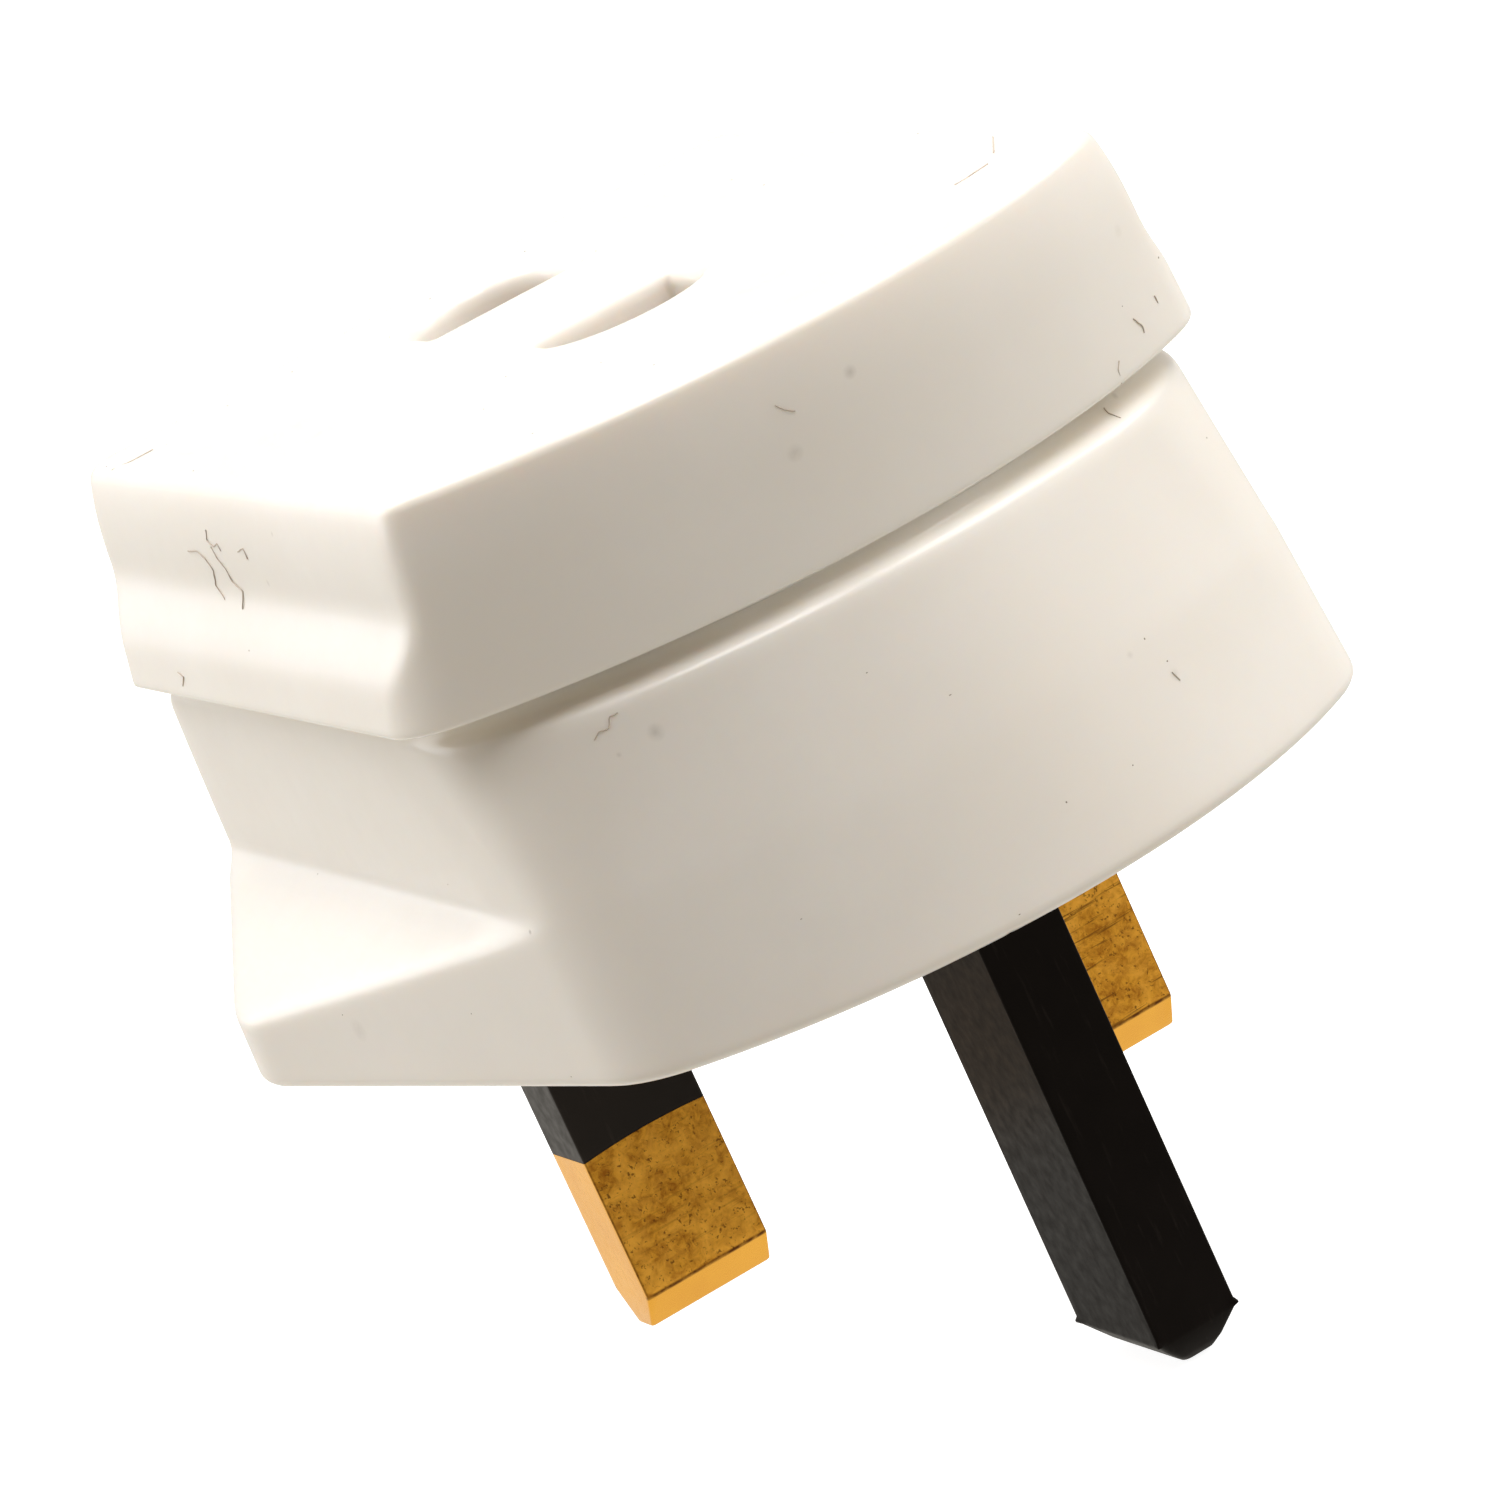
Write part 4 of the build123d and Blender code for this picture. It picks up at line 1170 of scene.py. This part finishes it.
def light_tent(st):
    """White backdrop in a tent of light: bright round the plug, dimmer at the far right, open near left"""
    world = bpy.data.worlds.new("studio")
    world.use_nodes = True
    tent = Nodes(world.node_tree)
    around = tent.add("ShaderNodeTexCoord").outputs["Generated"]

    def facing(direction, start, end, low=0.0, high=1.0):
        """Level that changes with how far a ray points in a direction"""
        inputs = {0: around, 1: Vector(direction).normalized()}
        dot = tent.add("ShaderNodeVectorMath", inputs, operation="DOT_PRODUCT")
        return tent.span(dot.outputs["Value"], start, end, low, high, "SMOOTHSTEP")

    opening = facing(st.open_side, -0.02, 0.45)
    walls = facing(TENT_BACK, 0.35, 0.85, st.tent_bright, st.tent_back)
    strength = tent.add("ShaderNodeMix", {0: opening, 2: walls, 3: st.tent_front}).outputs[0]
    tone = tent.mix(opening, st.tent_colour, st.front_colour)
    lit = tent.add("ShaderNodeBackground", {"Color": tone, "Strength": strength})
    backdrop = tent.add("ShaderNodeBackground", {"Color": (1, 1, 1)})
    tent.add("ShaderNodeOutputWorld", {"Surface": seen_or_lit(tent, backdrop, lit)})
    return world


# Operators

class ADAPTER_OT_base(bpy.types.Operator):
    """Build the moulded base with its grips, shoulder, neck and pin seats"""

    bl_idname = "adapter.base"
    bl_label = "Moulded base"

    def execute(self, context):
        white = moulded_white(context.scene.adapter_finish)
        dress(make_base_shell(context.scene.adapter_body), white, "white_body", "base")
        return {"FINISHED"}


class ADAPTER_OT_cover(bpy.types.Operator):
    """Build the moulded cover with its two slots and finger valleys"""

    bl_idname = "adapter.cover"
    bl_label = "Moulded cover"

    def execute(self, context):
        white = bpy.data.materials["moulded_white"]
        dress(make_cover_shell(context.scene.adapter_body), white, "white_body", "cover")
        return {"FINISHED"}


class ADAPTER_OT_pins(bpy.types.Operator):
    """Build the two brass pins, their black sleeves and the earth pin"""

    bl_idname = "adapter.pins"
    bl_label = "Pins"

    def execute(self, context):
        pins, finish = context.scene.adapter_pins, context.scene.adapter_finish
        metal = brass(finish)
        sleeve = black_plastic(finish, "black_sleeve", 0.26)
        black = black_plastic(finish, "black_moulded_pin", 0.05)
        for side, x in (("live", LIVE_X), ("neutral", NEUTRAL_X)):
            dress(make_current_pin(f"pin_{side}_brass", x, pins), metal, "pin_brass", f"pin_{side}")
            dress(make_sleeve(f"sleeve_{side}_moulded", x, pins), sleeve, "black_insulation",
                  f"sleeve_{side}")
        dress(make_earth_pin(pins), black, "black_insulation", "earth_pin")
        return {"FINISHED"}


class ADAPTER_OT_contacts(bpy.types.Operator):
    """Ease the edges of the spring contacts and fuse clips"""

    bl_idname = "adapter.contacts"
    bl_label = "Contacts and clips"

    def execute(self, context):
        metal = plain_metal("spring_brass", (0.80, 0.52, 0.20), (0.70, 0.42, 0.14), 0.28, 900,
                            (240, 240, 3200))
        for node in ("contact_live", "contact_neutral", "clip_live", "clip_load"):
            dress(softened(node, f"{node}_pressed"), metal, "spring_brass", node)
        return {"FINISHED"}


class ADAPTER_OT_fuse(bpy.types.Operator):
    """Build the fuse from its tube and two plated caps"""

    bl_idname = "adapter.fuse"
    bl_label = "Fuse"

    def execute(self, context):
        plate = plain_metal("plated_cap", (0.72, 0.70, 0.66), (0.60, 0.58, 0.54), 0.22, 1600)
        dress(make_fuse_tube(), ceramic(), "fuse_ceramic", "fuse_tube")
        dress(make_fuse_cap("fuse_end_live", 1), plate, "plated_cap", "fuse_cap_live")
        dress(make_fuse_cap("fuse_end_load", -1), plate, "plated_cap", "fuse_cap_load")
        return {"FINISHED"}


class ADAPTER_OT_screw(bpy.types.Operator):
    """Build the cover screw with its thread"""

    bl_idname = "adapter.screw"
    bl_label = "Cover screw"

    def execute(self, context):
        steel = plain_metal("screw_steel", (0.62, 0.60, 0.56), (0.46, 0.44, 0.41), 0.3, 1900)
        dress(make_screw(steel), steel, "screw_steel", "cover_screw")
        return {"FINISHED"}


class ADAPTER_OT_wear(bpy.types.Operator):
    """Lay hairs and dust on the shells and tint them with smudges"""

    bl_idname = "adapter.wear"
    bl_label = "Hairs, dust and smudges"

    def execute(self, context):
        wear = context.scene.adapter_wear
        fibre = lint("lint_fibre", (0.58, 0.50, 0.42), (0.44, 0.36, 0.30))
        dust = lint("dust_brown", (0.34, 0.28, 0.22), (0.2, 0.16, 0.13))
        dress(make_hairs(wear, fibre), fibre, None)
        dress(make_specks(wear, dust), dust, None)
        add_smudges(bpy.data.materials["moulded_white"], wear)
        return {"FINISHED"}


class ADAPTER_OT_stage(bpy.types.Operator):
    """Set the floor, the lights and the camera"""

    bl_idname = "adapter.stage"
    bl_label = "Studio stage"

    def execute(self, context):
        scene = context.scene
        st = scene.adapter_stage
        low = cad_low[2] - st.floor_gap
        corners = [(x * FLOOR_HALF, y * FLOOR_HALF, low) for x, y in ((-1, -1), (1, -1), (1, 1), (-1, 1))]
        mesh = bpy.data.meshes.new("studio_floor")
        mesh.from_pydata(corners, [], [(0, 1, 2, 3)])
        floor = linked("studio_floor", mesh)
        floor.data.materials.append(pale_floor(st))
        scene.world = light_tent(st)
        for name, place, size, aim_z, setting, share in SOFTBOXES:
            light = bpy.data.lights.new(name, "AREA")
            light.size = size
            light.energy = getattr(st, setting) * share
            lamp = linked(name, light)
            lamp.location = place
            lamp.rotation_euler = (Vector((0, 0, aim_z)) - Vector(place)).to_track_quat("-Z", "Y").to_euler()
        lens = bpy.data.cameras.new("photo_camera")
        lens.sensor_width = SENSOR
        lens.lens = LENS
        lens.shift_x, lens.shift_y = SHIFT
        lens.clip_start = 0.01
        lens.clip_end = 20.0
        camera = linked("photo_camera", lens)
        camera.location = CAMERA_AT
        camera.rotation_euler = CAMERA_TURN
        scene.camera = camera
        scene.view_settings.view_transform = "Standard"
        return {"FINISHED"}


class ADAPTER_PT_panel(bpy.types.Panel):
    """Lists the steps that build the adapter"""

    bl_idname = "ADAPTER_PT_panel"
    bl_label = "Shaver adapter plug"
    bl_space_type = "VIEW_3D"
    bl_region_type = "UI"
    bl_category = "Adapter"

    def draw(self, context):
        for step in STEPS:
            self.layout.operator(step.bl_idname)


GROUPS = {"adapter_body": BodySizes, "adapter_pins": PinSizes, "adapter_finish": FinishSettings,
          "adapter_wear": WearSettings, "adapter_stage": StageSettings}
STEPS = (ADAPTER_OT_base, ADAPTER_OT_cover, ADAPTER_OT_pins, ADAPTER_OT_contacts, ADAPTER_OT_fuse,
         ADAPTER_OT_screw, ADAPTER_OT_wear, ADAPTER_OT_stage)
CLASSES = (*GROUPS.values(), *STEPS, ADAPTER_PT_panel)


def register():
    for c in CLASSES:
        bpy.utils.register_class(c)
    for name, group in GROUPS.items():
        setattr(bpy.types.Scene, name, PointerProperty(type=group))


def unregister():
    for name in GROUPS:
        delattr(bpy.types.Scene, name)
    for c in reversed(CLASSES):
        bpy.utils.unregister_class(c)


def main():
    register()
    bpy.ops.adapter.base()
    bpy.ops.adapter.cover()
    bpy.ops.adapter.pins()
    bpy.ops.adapter.contacts()
    bpy.ops.adapter.fuse()
    bpy.ops.adapter.screw()
    bpy.ops.adapter.wear()
    bpy.ops.adapter.stage()


if __name__ == "__main__":
    main()
